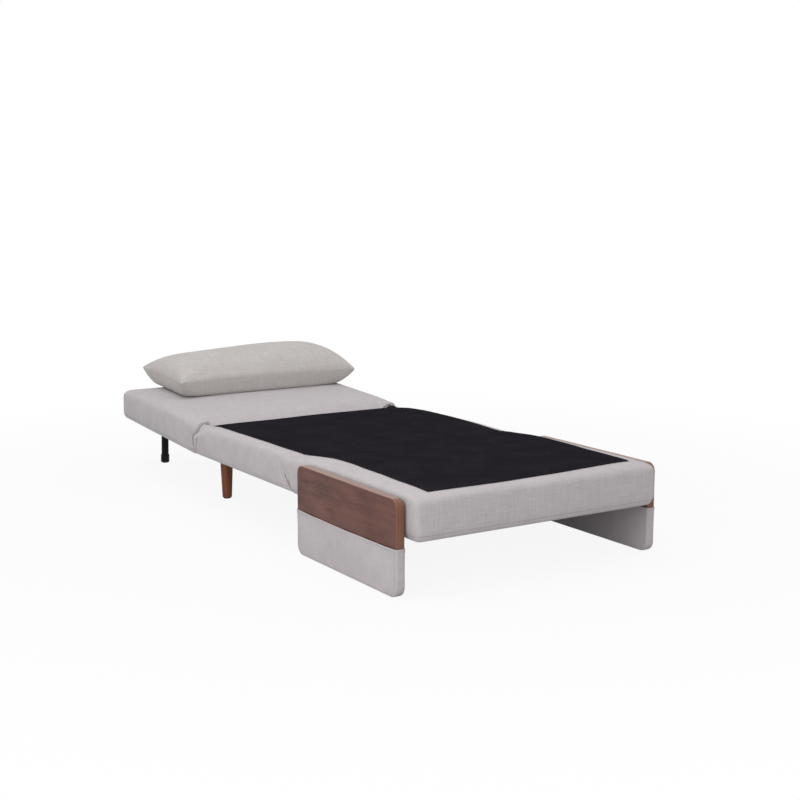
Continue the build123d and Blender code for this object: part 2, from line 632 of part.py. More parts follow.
def make_foot():
    """Foot section, which flips over onto the base, and its two arms."""
    frame_y = frame_span(FOOT_Y)
    frame = rails(BASE_FRAME_HALF, frame_y, FOOT_FRAME_Z)
    rail_face = BASE_FRAME_HALF - RAIL_WIDTH
    spacers = []
    bolts = []
    inserts = []
    for _, side in SIDES:
        insert_span = sided(side, BOARD_INNER_X, BOARD_INNER_X + ARM_BOLT_BITE)
        for y in arm_bolt_places():
            hole = rod(sided(side, 0, WIDTH), y, ARM_BOLT_Z, BOLT_RADIUS + BOLT_FIT)
            frame -= rod(sided(side, rail_face, BASE_FRAME_HALF), y, ARM_BOLT_Z, BOLT_RADIUS + BOLT_FIT)
            spacer = rod(sided(side, BASE_FRAME_HALF, BOARD_INNER_X), y, ARM_BOLT_Z, SPACER_RADIUS)
            spacers.append(spacer - hole)
            insert = rod(insert_span, y, ARM_BOLT_Z, INSERT_RADIUS)
            inserts.append(insert - hole)
            shank = rod(sided(side, rail_face, BOARD_INNER_X + ARM_BOLT_BITE), y, ARM_BOLT_Z, BOLT_RADIUS)
            head = rod(sided(side, rail_face - ARM_BOLT_HEAD, rail_face), y, ARM_BOLT_Z, ARM_BOLT_HEAD_RADIUS)
            bolts.append(shank + head)
    pairs = [pair for x_span in fold_places() for pair in fold_screws(x_span, -1, FOOT_FRAME_Z)]
    save(Compound([screw for screw, _ in pairs]), "foot_hinge_screws")
    save(frame - [hole for _, hole in pairs], "foot_frame")
    save(Compound(spacers), "arm_spacers")
    save(Compound(bolts), "arm_bolts")
    save(Compound(inserts), "arm_inserts")

    spring_y = inside(frame_y, RAIL_WIDTH / 2)
    springs = []
    clips = []
    pitch = 2 * rail_face / SPRING_COUNT
    for index in range(SPRING_COUNT):
        x = (index - (SPRING_COUNT - 1) / 2) * pitch
        springs.append(sinuous_spring(x, spring_y))
        clips += [spring_clip(x, y) for y in spring_y]
    save(Compound(springs), "foot_springs")
    save(Compound(clips), "foot_spring_clips")

    core = cushion(FOOT_Y, FOOT_Z, FOOT_RADII, FABRIC)
    everything = (-WIDTH, WIDTH), grow(FOOT_Y, WIDTH)
    above = span_box(*everything, (FOOT_FRAME_Z[1], TOP + THICKNESS))
    spring_room = (FOOT_FRAME_Z[0] - SPRING_LAYER, FOOT_FRAME_Z[1])
    hollow = span_box((-BASE_FRAME_HALF, BASE_FRAME_HALF), frame_y, spring_room)
    save(core - above - hollow - foot_cuts(), "foot_seat_foam")
    below = span_box(*everything, (0, FOOT_FRAME_Z[1]))
    save(core - below - foot_cuts(), "foot_top_pad")
    save(cushion(FOOT_Y, FOOT_Z, FOOT_RADII) - core - foot_cuts(), "foot_cover")
    panel_x = inside((-WIDTH / 2, WIDTH / 2), PANEL_SIDE_MARGIN)
    panel_y = (FOOT_Y[0] + PANEL_FOOT_MARGIN, FOOT_Y[1] - FOOT_RADII[1])
    save(span_box(panel_x, panel_y, (FOOT_Z[1], TOP)), "foot_sleep_panel")

    for (name, side), x_span in zip(SIDES, fold_places()):
        save(fold_strap(x_span, -1, FOOT_FRAME_Z, True), f"fold_strap_foot_{name}")
        save(arm_board(side), f"arm_board_{name}")
        save(arm_sleeve(side), f"arm_sleeve_{name}")


# --- Head section ---

def clamp_places():
    """X of the middle of each clamp, and Y of its two screws."""
    screws = [TUBE_Y + way * (TUBE_RADIUS + CLAMP_PLATE + CLAMP_FLANGE / 2) for way in (-1, 1)]
    return [(side * CLAMP_SPREAD / 2, screws) for _, side in SIDES]


def tube_clamp(x, screws):
    """Saddle clamp that holds the tube leg's crossbar and lets it turn."""
    radius = TUBE_RADIUS + 2 * PIN_FIT
    centre = Pos(TUBE_Y, TUBE_Z)
    drop = HEAD_Z[0] - TUBE_Z
    outer = radius + CLAMP_PLATE
    arch = centre * (Circle(outer) + Pos(0, drop / 2) * Rectangle(2 * outer, drop))
    length = 2 * (TUBE_RADIUS + CLAMP_PLATE + CLAMP_FLANGE)
    arch += Pos(TUBE_Y, HEAD_Z[0] - CLAMP_PLATE / 2) * Rectangle(length, CLAMP_PLATE)
    arch -= centre * (Circle(radius) + Pos(0, drop / 2) * Rectangle(2 * radius, drop))
    arch &= Pos(TUBE_Y, HEAD_Z[0] - TUBE_SPREAD / 2) * Rectangle(length, TUBE_SPREAD)
    clamp = plate(arch, grow((x, x), CLAMP_WIDTH / 2))
    for y in screws:
        clamp -= Pos(x, y, 0) * upright(CLAMP_SCREW_RADIUS + BOLT_FIT, (0, TOP))
    return clamp


def make_head():
    """Head section, which is the chair's back, and its halves of the hinges."""
    frame_y = frame_span(HEAD_Y)
    frame = rails(HEAD_FRAME_HALF, frame_y, HEAD_FRAME_Z)
    rail_face = HEAD_FRAME_HALF - RAIL_WIDTH
    leg_rail_end = frame_y[1] - RAIL_WIDTH
    leg_rail_y = (leg_rail_end - LEG_RAIL_WIDTH, leg_rail_end)
    leg_rail_z = (HEAD_FRAME_Z[0], HEAD_FRAME_Z[0] + RAIL_WIDTH)
    frame += span_box((-rail_face, rail_face), leg_rail_y, leg_rail_z)
    screw_room = []
    screws = []
    clamps = []
    for x, screw_y in clamp_places():
        clamps.append(tube_clamp(x, screw_y))
        for y in screw_y:
            low = HEAD_Z[0] - CLAMP_PLATE
            span = (low, low + CLAMP_SCREW_LENGTH)
            screw_room.append(Pos(x, y, 0) * upright(CLAMP_SCREW_RADIUS + BOLT_FIT, span))
            head_span = (low - CLAMP_SCREW_HEAD, low)
            head = chamfer(upright(CLAMP_SCREW_HEAD_RADIUS, head_span).edges().sort_by(Axis.Z)[0], 1)
            screws.append(Pos(x, y, 0) * (head + upright(CLAMP_SCREW_RADIUS, span)))
    cuts = ratchet_cuts(1, HEAD_FRAME_Z)
    hinge_fixings, hinge_room = ratchet_screws(1, HEAD_FRAME_Z, rail_face)
    save(on_head(Compound(hinge_fixings)), "head_hinge_screws")
    save(on_head(frame - screw_room - hinge_room - cuts), "head_frame")
    save(on_head(Compound(clamps)), "head_leg_clamps")
    save(on_head(Compound(screws)), "head_clamp_screws")

    web_z = HEAD_FRAME_Z[1]
    save(on_head(webbing(HEAD_FRAME_HALF, frame_y, web_z)), "head_webbing")
    core = cushion(HEAD_Y, HEAD_Z, HEAD_RADII, FABRIC)
    hollow_top = web_z + 2 * WEB_THICKNESS
    hollow = span_box((-HEAD_FRAME_HALF, HEAD_FRAME_HALF), frame_y, (HEAD_Z[0], hollow_top))
    save(on_head(core - hollow - cuts), "head_foam")
    save(on_head(cushion(HEAD_Y, HEAD_Z, HEAD_RADII) - core - cuts - screw_room), "head_cover")
    for name, side in SIDES:
        arm = pierced(recline_circles(1, HEAD_FRAME_Z)) + toothed_sector()
        save(on_head(plate(arm, head_layer(side))), f"ratchet_arm_{name}")


def make_head_leg():
    """Tube leg, bent to a U with its crossbar in the clamps, and its plastic feet."""
    cap_radius = FOOT_CAP_RADIUS - FOOT_CAP_EDGE
    reach = TUBE_Y - RECLINE_Y
    drop = (RECLINE_Z + reach * sin(RISE) - cap_radius * sin(RISE)) / cos(RISE)
    floor_z = RECLINE_Z - drop
    tube_end = floor_z + FOOT_CAP_BASE
    half = TUBE_SPREAD / 2
    corners = ((-half, tube_end), (-half, TUBE_Z), (half, TUBE_Z), (half, tube_end))
    path = FilletPolyline(*[(x, TUBE_Y, z) for x, z in corners], radius=TUBE_BEND)
    ring = Circle(TUBE_RADIUS) - Circle(TUBE_RADIUS - TUBE_WALL)
    tube = sweep(Plane(path @ 0, z_dir=path % 0) * ring, path)
    save(on_head(tube), "head_leg_tube")
    caps = []
    for _, side in SIDES:
        cap = upright(FOOT_CAP_RADIUS, (floor_z, floor_z + FOOT_CAP_HEIGHT))
        cap = chamfer(cap.edges().sort_by(Axis.Z)[0], FOOT_CAP_EDGE)
        cap = fillet(cap.edges().sort_by(Axis.Z)[-1], FOOT_CAP_EDGE / 3)
        cap -= upright(TUBE_RADIUS + BOLT_FIT, (tube_end, floor_z + FOOT_CAP_HEIGHT))
        caps.append(Pos(side * half, TUBE_Y, 0) * cap)
    save(on_head(Compound(caps)), "head_leg_feet")


# --- Pillow ---

def pillow_shape(inset=0.0):
    """Plump rectangle, fullest in the middle of its height, drawn in by inset."""
    height = PILLOW_HEIGHT - 2 * inset
    sections = []
    for level in PILLOW_SECTIONS:
        fullness = sqrt(max(0.0, 1 - abs(2 * level - 1) ** PILLOW_ROUNDNESS))
        length = PILLOW_LENGTH - 2 * inset - PILLOW_HEIGHT * (1 - fullness)
        depth = PILLOW_DEPTH - 2 * inset - PILLOW_HEIGHT * (1 - fullness)
        plane = Plane.XY.offset(inset + height * level)
        sections.append(plane * RectangleRounded(length, depth, PILLOW_CORNER))
    return loft(sections, ruled=True)


def make_pillow():
    """Loose pillow that lies on the head section."""
    place = Pos(PILLOW_OFFSET, RECLINE_Y + PILLOW_REACH, TOP + PILLOW_CLEARANCE)
    filling = pillow_shape(PILLOW_CLOTH)
    save(on_head(place * (pillow_shape() - filling)), "pillow_cover")
    save(on_head(place * filling), "pillow_filling")


os.makedirs("parts", exist_ok=True)
make_base()
make_foot()
make_head()
make_head_leg()
make_pillow()
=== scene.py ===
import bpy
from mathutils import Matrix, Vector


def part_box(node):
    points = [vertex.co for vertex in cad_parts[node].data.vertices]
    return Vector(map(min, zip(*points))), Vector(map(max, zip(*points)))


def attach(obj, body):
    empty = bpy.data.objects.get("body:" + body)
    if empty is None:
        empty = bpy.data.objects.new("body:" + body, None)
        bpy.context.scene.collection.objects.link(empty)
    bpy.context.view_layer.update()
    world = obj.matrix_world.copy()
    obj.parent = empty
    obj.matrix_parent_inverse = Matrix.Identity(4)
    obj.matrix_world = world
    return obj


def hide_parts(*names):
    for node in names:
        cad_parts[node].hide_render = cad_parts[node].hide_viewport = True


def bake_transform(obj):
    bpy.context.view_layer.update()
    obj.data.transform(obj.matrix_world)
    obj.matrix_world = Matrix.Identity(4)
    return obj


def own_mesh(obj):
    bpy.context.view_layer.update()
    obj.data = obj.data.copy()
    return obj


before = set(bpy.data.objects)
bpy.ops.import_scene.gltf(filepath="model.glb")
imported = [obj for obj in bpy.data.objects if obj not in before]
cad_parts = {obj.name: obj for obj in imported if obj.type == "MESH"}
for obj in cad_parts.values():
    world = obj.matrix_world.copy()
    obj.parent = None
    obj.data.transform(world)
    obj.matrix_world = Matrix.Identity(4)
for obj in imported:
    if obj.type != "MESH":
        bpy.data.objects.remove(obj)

"""Looks of a convertible chair bed, built over its packed construction.

X is the width, +Y runs to the head end, +Z is up. Lengths are in metres.
"""

import logging
import math
from contextlib import contextmanager
from dataclasses import dataclass, field
from enum import Enum
from typing import Callable, Iterator, Sequence

import bmesh
import bpy
import numpy as np
from mathutils import Matrix, Vector
from mathutils.bvhtree import BVHTree

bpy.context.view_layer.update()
LOG = logging.getLogger("chair_bed")
Point = tuple[float, float, float]
Colour = tuple[float, float, float, float]
Knots = tuple[tuple[float, float], ...]
Socket = bpy.types.NodeSocket

TOP = 0.247
UNDERSIDE = 0.142
HALF_WIDTH = 0.380
FOLD_Y, FOLD_Z = -0.33355, 0.249
RECLINE_Y, RECLINE_Z = 0.31745, 0.239
FOLD_HINGE_X = 0.230
RECLINE_HINGE_X = 0.347
HEAD_RISE = math.radians(3.0)
HEAD_TURN = (Matrix.Translation((0, RECLINE_Y, RECLINE_Z)) @ Matrix.Rotation(HEAD_RISE, 4, "X")
             @ Matrix.Translation((0, -RECLINE_Y, -RECLINE_Z)))


def tone(red: int, green: int, blue: int) -> Colour:
    """Turn an 8-bit colour, as it looks on a screen, into the linear colour that a shader takes.

    Args:
        red: Red, from 0 to 255.
        green: Green, from 0 to 255.
        blue: Blue, from 0 to 255.

    Returns:
        The linear colour with full alpha.
    """
    values = [part / 255 for part in (red, green, blue)]
    linear = [v / 12.92 if v <= 0.04045 else ((v + 0.055) / 1.055) ** 2.4 for v in values]
    return (linear[0], linear[1], linear[2], 1.0)


# --- Node trees ---


class Nodes:
    """Adds nodes to one tree and links them."""

    def __init__(self, tree: bpy.types.NodeTree) -> None:
        """Start on a material's, group's or world's tree, emptied."""
        self.tree = tree
        tree.nodes.clear()

    def add(self, kind: str, **settings: object) -> bpy.types.Node:
        """Add a node.

        Args:
            kind: The node's type, without its ShaderNode prefix.
            **settings: The node's own properties.

        Returns:
            The new node.
        """
        node = self.tree.nodes.new("ShaderNode" + kind if not kind.startswith("Node") else kind)
        for name, value in settings.items():
            setattr(node, name, value)
        return node

    def put(self, source: object, target: Socket) -> None:
        """Link a socket to an input, or set the input to a plain value.

        Args:
            source: An output socket, a number, a colour or a vector.
            target: The input socket.
        """
        if isinstance(source, Socket):
            self.tree.links.new(source, target)
        else:
            target.default_value = source

    def fill(self, node: bpy.types.Node, values: dict[str, object]) -> None:
        """Link or set a node's inputs by their names."""
        for name, value in values.items():
            self.put(value, node.inputs[name])

    def math(self, operation: str, *values: object, clamp: bool = False) -> Socket:
        """Work out a number.

        Args:
            operation: The Math node's operation.
            *values: Its inputs, sockets or numbers.
            clamp: Whether the result is kept from 0 to 1.

        Returns:
            The result's socket.
        """
        node = self.add("Math", operation=operation, use_clamp=clamp)
        for index, value in enumerate(values):
            self.put(value, node.inputs[index])
        return node.outputs[0]

    def within(self, value: object) -> Socket:
        """Keep a number from 0 to 1."""
        return self.math("MINIMUM", self.math("MAXIMUM", value, 0.0), 1.0)

    def split(self, vector: object) -> list[Socket]:
        """Take a vector apart.

        Args:
            vector: The vector's socket.

        Returns:
            Its x, y and z.
        """
        node = self.add("SeparateXYZ")
        self.put(vector, node.inputs[0])
        return list(node.outputs)

    def join(self, x: object, y: object) -> Socket:
        """Make a vector of an x and a y.

        Args:
            x: Its x, a socket or number.
            y: Its y.

        Returns:
            The vector's socket.
        """
        node = self.add("CombineXYZ")
        self.fill(node, {"X": x, "Y": y})
        return node.outputs[0]

    def blend(self, factor: object, first: object, second: object) -> Socket:
        """Mix two colours.

        Args:
            factor: How much of the second, a socket or number.
            first: The first colour.
            second: The second colour.

        Returns:
            The mixed colour's socket.
        """
        node = self.add("Mix", data_type="RGBA")
        for index, value in ((0, factor), (6, first), (7, second)):
            self.put(value, node.inputs[index])
        return node.outputs[2]

    def noise(self, vector: object, scale: object, detail: float = 3.0, roughness: float = 0.55) -> Socket:
        """Add noise.

        Args:
            vector: The coordinate's socket.
            scale: How fine the noise is, per metre.
            detail: Octaves of finer noise.
            roughness: Strength of the finer octaves.

        Returns:
            The noise value's socket.
        """
        node = self.add("TexNoise")
        self.fill(node, {"Vector": vector, "Scale": scale, "Detail": detail, "Roughness": roughness})
        return node.outputs["Fac"]

    def stretch(self, vector: object, scale: Point, turn: Point = (0, 0, 0)) -> Socket:
        """Scale a coordinate along its axes.

        Args:
            vector: The coordinate's socket.
            scale: Scale along each axis.
            turn: Rotation about each axis, in radians.

        Returns:
            The new coordinate's socket.
        """
        node = self.add("Mapping", vector_type="POINT")
        self.fill(node, {"Vector": vector, "Rotation": turn, "Scale": scale})
        return node.outputs["Vector"]

    def ramp(self, value: object, stops: Sequence[tuple[float, Colour]]) -> Socket:
        """Turn a value into a colour through a ramp.

        Args:
            value: The value's socket.
            stops: Positions and colours.

        Returns:
            The colour's socket.
        """
        node = self.add("ValToRGB")
        self.put(value, node.inputs["Fac"])
        marks = node.color_ramp.elements
        while len(marks) < len(stops):
            marks.new(0.5)
        for mark, (position, colour) in zip(marks, stops):
            mark.position = position
            mark.color = colour
        return node.outputs["Color"]

    def range(self, value: object, low: float, high: float, first: float = 0.0, last: float = 1.0) -> Socket:
        """Map a value from one range to another, smoothly and clamped.

        Args:
            value: The value's socket.
            low: Start of its range.
            high: End of its range.
            first: Result at the start.
            last: Result at the end.

        Returns:
            The result's socket.
        """
        node = self.add("MapRange", interpolation_type="SMOOTHSTEP")
        for index, item in enumerate((value, low, high, first, last)):
            self.put(item, node.inputs[index])
        return node.outputs[0]

    def use(self, tree: bpy.types.NodeTree, **values: object) -> bpy.types.Node:
        """Place a node group.

        Args:
            tree: The group.
            **values: Its inputs by name, sockets or plain values.

        Returns:
            The group's node.
        """
        node = self.add("Group", node_tree=tree)
        self.fill(node, values)
        return node

    def background_rays(self) -> Socket:
        """Tell the rays that are shown the background: from the camera, a mirror or glass.

        Returns:
            A socket that is 1 for such a ray.
        """
        rays = self.add("LightPath").outputs
        second = self.math("MAXIMUM", rays["Is Glossy Ray"], rays["Is Transmission Ray"])
        return self.math("MAXIMUM", rays["Is Camera Ray"], second)


def group(name: str, inputs: Sequence[tuple[str, str, object]],
          outputs: Sequence[str]) -> tuple[Nodes, bpy.types.Node, bpy.types.Node]:
    """Start a shader node group.

    Args:
        name: The group's name.
        inputs: Name, socket type and default of each input.
        outputs: Name of each output, a number.

    Returns:
        The tree's builder, its input node and its output node.
    """
    tree = bpy.data.node_groups.new(name, "ShaderNodeTree")
    for label, kind, default in inputs:
        socket = tree.interface.new_socket(label, in_out="INPUT", socket_type="NodeSocket" + kind)
        if default is not None:
            socket.default_value = default
    for label in outputs:
        tree.interface.new_socket(label, in_out="OUTPUT", socket_type="NodeSocketFloat")
    nodes = Nodes(tree)
    return nodes, nodes.add("NodeGroupInput"), nodes.add("NodeGroupOutput")


def weave_group() -> bpy.types.NodeTree:
    """Make the plain weave used by both linens: threads along the two axes of each face.

    Returns:
        The group, with a coordinate and a facing in, and the thread's height and tone out.
    """
    slubs_along, slubs_across, crossing_height = 14.0, 420.0, 0.35
    nodes, given, result = group(
        "plain_weave",
        [("Coordinate", "Vector", None), ("Facing", "Vector", None), ("Pitch", "Float", 0.0011)],
        ["Height", "Tone"])
    x, y, z = nodes.split(given.outputs["Coordinate"])
    ax, ay, az = [nodes.math("ABSOLUTE", part) for part in nodes.split(given.outputs["Facing"])]
    flat = nodes.math("GREATER_THAN", az, nodes.math("MAXIMUM", ax, ay))
    side = nodes.math("MULTIPLY", nodes.math("GREATER_THAN", ax, ay), nodes.math("SUBTRACT", 1.0, flat))
    u = nodes.math("MULTIPLY_ADD", side, nodes.math("SUBTRACT", y, x), x)
    v = nodes.math("MULTIPLY_ADD", flat, nodes.math("SUBTRACT", y, z), z)
    waves, threads = [], []
    for part, other in ((u, v), (v, u)):
        turns = nodes.math("DIVIDE", part, given.outputs["Pitch"])
        waves.append(nodes.math("SINE", nodes.math("MULTIPLY", turns, math.pi)))
        line = nodes.join(nodes.math("MULTIPLY", part, slubs_along),
                          nodes.math("MULTIPLY", other, slubs_across))
        threads.append(nodes.noise(line, scale=1.0, detail=2.0, roughness=0.6))
    over = nodes.math("MULTIPLY", *waves)
    ridge = nodes.math("MAXIMUM", *[nodes.math("ABSOLUTE", wave) for wave in waves])
    nodes.fill(result, {"Height": nodes.math("MULTIPLY_ADD", over, crossing_height, ridge),
                        "Tone": nodes.math("SUBTRACT", nodes.math("ADD", *threads), 1.0)})
    return nodes.tree


def wood_group() -> bpy.types.NodeTree:
    """Make wood whose grain runs along Z of the coordinate it is given.

    Returns:
        The group, with a coordinate in, and figure, pores and height out.
    """
    sway_scale, figure_scale, pore_scale = (9.0, 9.0, 2.2), (30.0, 30.0, 2.4), (900.0, 900.0, 26.0)
    sway_x, sway_y, figure_height = 5.0, 3.0, 0.25
    nodes, given, result = group(
        "wood_grain", [("Coordinate", "Vector", None), ("Fineness", "Float", 1.0)],
        ["Figure", "Pores", "Height"])
    scaled = nodes.add("VectorMath", operation="SCALE")
    nodes.fill(scaled, {"Vector": given.outputs["Coordinate"], "Scale": given.outputs["Fineness"]})
    base = scaled.outputs[0]
    sway = nodes.noise(nodes.stretch(base, sway_scale), scale=1.0, detail=3.0, roughness=0.5)
    bend = nodes.add("VectorMath", operation="ADD")
    nodes.put(nodes.stretch(base, figure_scale), bend.inputs[0])
    swayed = nodes.join(nodes.math("MULTIPLY", sway, sway_x), nodes.math("MULTIPLY", sway, sway_y))
    nodes.put(swayed, bend.inputs[1])
    figure = nodes.noise(bend.outputs[0], scale=1.0, detail=4.0, roughness=0.62)
    pores = nodes.noise(nodes.stretch(base, pore_scale), scale=1.0, detail=2.0, roughness=0.7)
    nodes.fill(result, {"Figure": figure, "Pores": pores,
                        "Height": nodes.math("MULTIPLY_ADD", figure, figure_height, pores)})
    return nodes.tree


def speckle_group() -> bpy.types.NodeTree:
    """Make the fine grain and slow tone drift that hard finishes share.

    Returns:
        The group, with a coordinate in, and fine grain and drift out.
    """
    nodes, given, result = group(
        "grain_and_drift", [("Coordinate", "Vector", None), ("Fine", "Float", 900.0), ("Slow", "Float", 9.0)],
        ["Grain", "Drift"])
    for name, scale, detail in (("Grain", "Fine", 2.0), ("Drift", "Slow", 4.0)):
        noise = nodes.noise(given.outputs["Coordinate"], given.outputs[scale], detail, roughness=0.5)
        nodes.put(noise, result.inputs[name])
    return nodes.tree


# --- Finishes ---


SHARED: dict[str, bpy.types.NodeTree] = {}


def shared(maker: Callable[[], bpy.types.NodeTree]) -> bpy.types.NodeTree:
    """Return a node group, made the first time it is asked for.

    Args:
        maker: The function that makes it.

    Returns:
        The group.
    """
    if maker.__name__ not in SHARED:
        SHARED[maker.__name__] = maker()
    return SHARED[maker.__name__]


class Finish:
    """A named material, made once and then shared."""

    name: str

    def material(self) -> bpy.types.Material:
        """Return the material, made the first time it is asked for.

        Returns:
            The material.
        """
        found = bpy.data.materials.get(self.name)
        if found is None:
            found = bpy.data.materials.new(self.name)
            found.use_nodes = True
            nodes = Nodes(found.node_tree)
            shader = nodes.add("BsdfPrincipled")
            nodes.put(shader.outputs[0], nodes.add("OutputMaterial").inputs[0])
            self.shade(nodes, shader)
        return found

    def shade(self, nodes: Nodes, shader: bpy.types.Node) -> None:
        """Fill in the material's nodes, from its tree builder and its Principled BSDF."""
        raise NotImplementedError

    def bump(self, nodes: Nodes, shader: bpy.types.Node, height: Socket, strength: float,
             depth: float) -> None:
        """Give the shader a bump from a height.

        Args:
            nodes: The material's tree builder.
            shader: Its Principled BSDF.
            height: The height's socket.
            strength: The bump's strength.
            depth: What a height of 1 stands for, in metres.
        """
        node = nodes.add("Bump")
        nodes.fill(node, {"Strength": strength, "Distance": depth, "Height": height})
        nodes.put(node.outputs["Normal"], shader.inputs["Normal"])


@dataclass(frozen=True)
class Linen(Finish):
    """Woven upholstery linen, with sewn seams where the mesh says that they run, and painted shade in its
    creases.
    """

    name: str
    colour: Colour
    shadow: Colour
    pitch: float = 0.0012
    slub: float = 0.16
    seam_tone: float = 0.24
    seam_colour: Colour = tone(112, 104, 102)
    seam_width: tuple[float, float] = (0.0008, 0.0024)
    # Painted shade for the creases: its strength, the span of seam values below 0 over which it comes in, and
    # its dark colour.
    crease_shade_strength: float = 0.9
    crease_shade_range: tuple[float, float] = (-0.0100, -0.0035)
    crease_shade_colour: Colour = tone(74, 62, 60)
    streaks: tuple[tuple[Point, float], ...] = (((0.10, 1.0, 1.0), 210.0), ((1.0, 0.12, 0.10), 190.0))

    def cloth(self, nodes: Nodes, place: Socket, threads: Socket) -> Socket:
        """Mix the linen's two tones by its threads, its streaks and a slow drift.

        Args:
            nodes: The material's tree builder.
            place: The coordinate's socket.
            threads: The weave's tone.

        Returns:
            The cloth's colour.
        """
        drift = nodes.noise(place, scale=7.0, detail=3.0, roughness=0.5)
        mixed = nodes.math("ADD", nodes.math("MULTIPLY_ADD", threads, self.slub * 2.2, 0.5),
                           nodes.math("MULTIPLY_ADD", drift, 0.5, -0.25))
        for stretch, scale in self.streaks:
            streak = nodes.noise(nodes.stretch(place, stretch), scale, detail=2.0, roughness=0.5)
            mixed = nodes.math("ADD", mixed, nodes.math("MULTIPLY_ADD", streak, 1.1, -0.55))
        return nodes.blend(nodes.within(mixed), self.shadow, self.colour)

    def shade(self, nodes: Nodes, shader: bpy.types.Node) -> None:
        """Fill in the linen: the seam attribute is the distance from a seam, and below 0 it marks a crease
        that gets painted shade.

        Args:
            nodes: The material's tree builder.
            shader: Its Principled BSDF.
        """
        place = nodes.add("TexCoord").outputs
        weave = nodes.use(shared(weave_group), Coordinate=place["Object"], Facing=place["Normal"],
                          Pitch=self.pitch).outputs
        # The seam attribute holds the distance from a seam; below 0 it marks painted crease shade.
        seam = nodes.add("Attribute", attribute_name="seam").outputs["Fac"]
        line = nodes.range(nodes.math("ABSOLUTE", seam), *self.seam_width, 1.0, 0.0)
        # Painted crease shade: 1 at the lowest seam values, fading out towards the span's upper end.
        crease_shade = nodes.range(seam, *self.crease_shade_range, 1.0, 0.0)
        colour = nodes.blend(nodes.math("MULTIPLY", line, self.seam_tone),
                             self.cloth(nodes, place["Object"], weave["Tone"]), self.seam_colour)
        # Darken the creases with painted shade.
        colour = nodes.blend(nodes.math("MULTIPLY", crease_shade, self.crease_shade_strength), colour, self.crease_shade_colour)
        nodes.fill(shader, {"Base Color": colour, "Roughness": 0.92, "Specular IOR Level": 0.15,
                            "Sheen Weight": 0.08, "Sheen Roughness": 0.55})
        height = nodes.math("SUBTRACT", weave["Height"], nodes.math("MULTIPLY", line, 2.0))
        self.bump(nodes, shader, height, strength=0.35, depth=0.0003)


@dataclass(frozen=True)
class NonWoven(Finish):
    """Spun black cloth with a pressed dot pattern."""

    name: str
    colour: Colour
    highlight: Colour
    dots_per_metre: float = 620.0
    fibre_stretch: Point = (1.0, 0.35, 1.0)

    def shade(self, nodes: Nodes, shader: bpy.types.Node) -> None:
        """Fill in the cloth.

        Args:
            nodes: The material's tree builder.
            shader: Its Principled BSDF.
        """
        place = nodes.add("TexCoord").outputs["Object"]
        dots = nodes.add("TexVoronoi", feature="DISTANCE_TO_EDGE")
        nodes.fill(dots, {"Vector": place, "Scale": self.dots_per_metre})
        pressed = nodes.range(dots.outputs["Distance"], 0.02, 0.22)
        fibres = nodes.noise(nodes.stretch(place, self.fibre_stretch), scale=260.0, detail=4.0, roughness=0.7)
        drift = nodes.noise(place, scale=11.0, detail=4.0, roughness=0.6)
        amount = nodes.math("ADD", nodes.math("MULTIPLY", fibres, 0.9),
                            nodes.math("MULTIPLY_ADD", drift, 0.8, -0.75), clamp=True)
        nodes.fill(shader, {"Base Color": nodes.blend(amount, self.colour, self.highlight), "Roughness": 0.95,
                            "Specular IOR Level": 0.0})
        height = nodes.math("MULTIPLY_ADD", pressed, 0.6, fibres)
        self.bump(nodes, shader, height, strength=0.3, depth=0.0003)


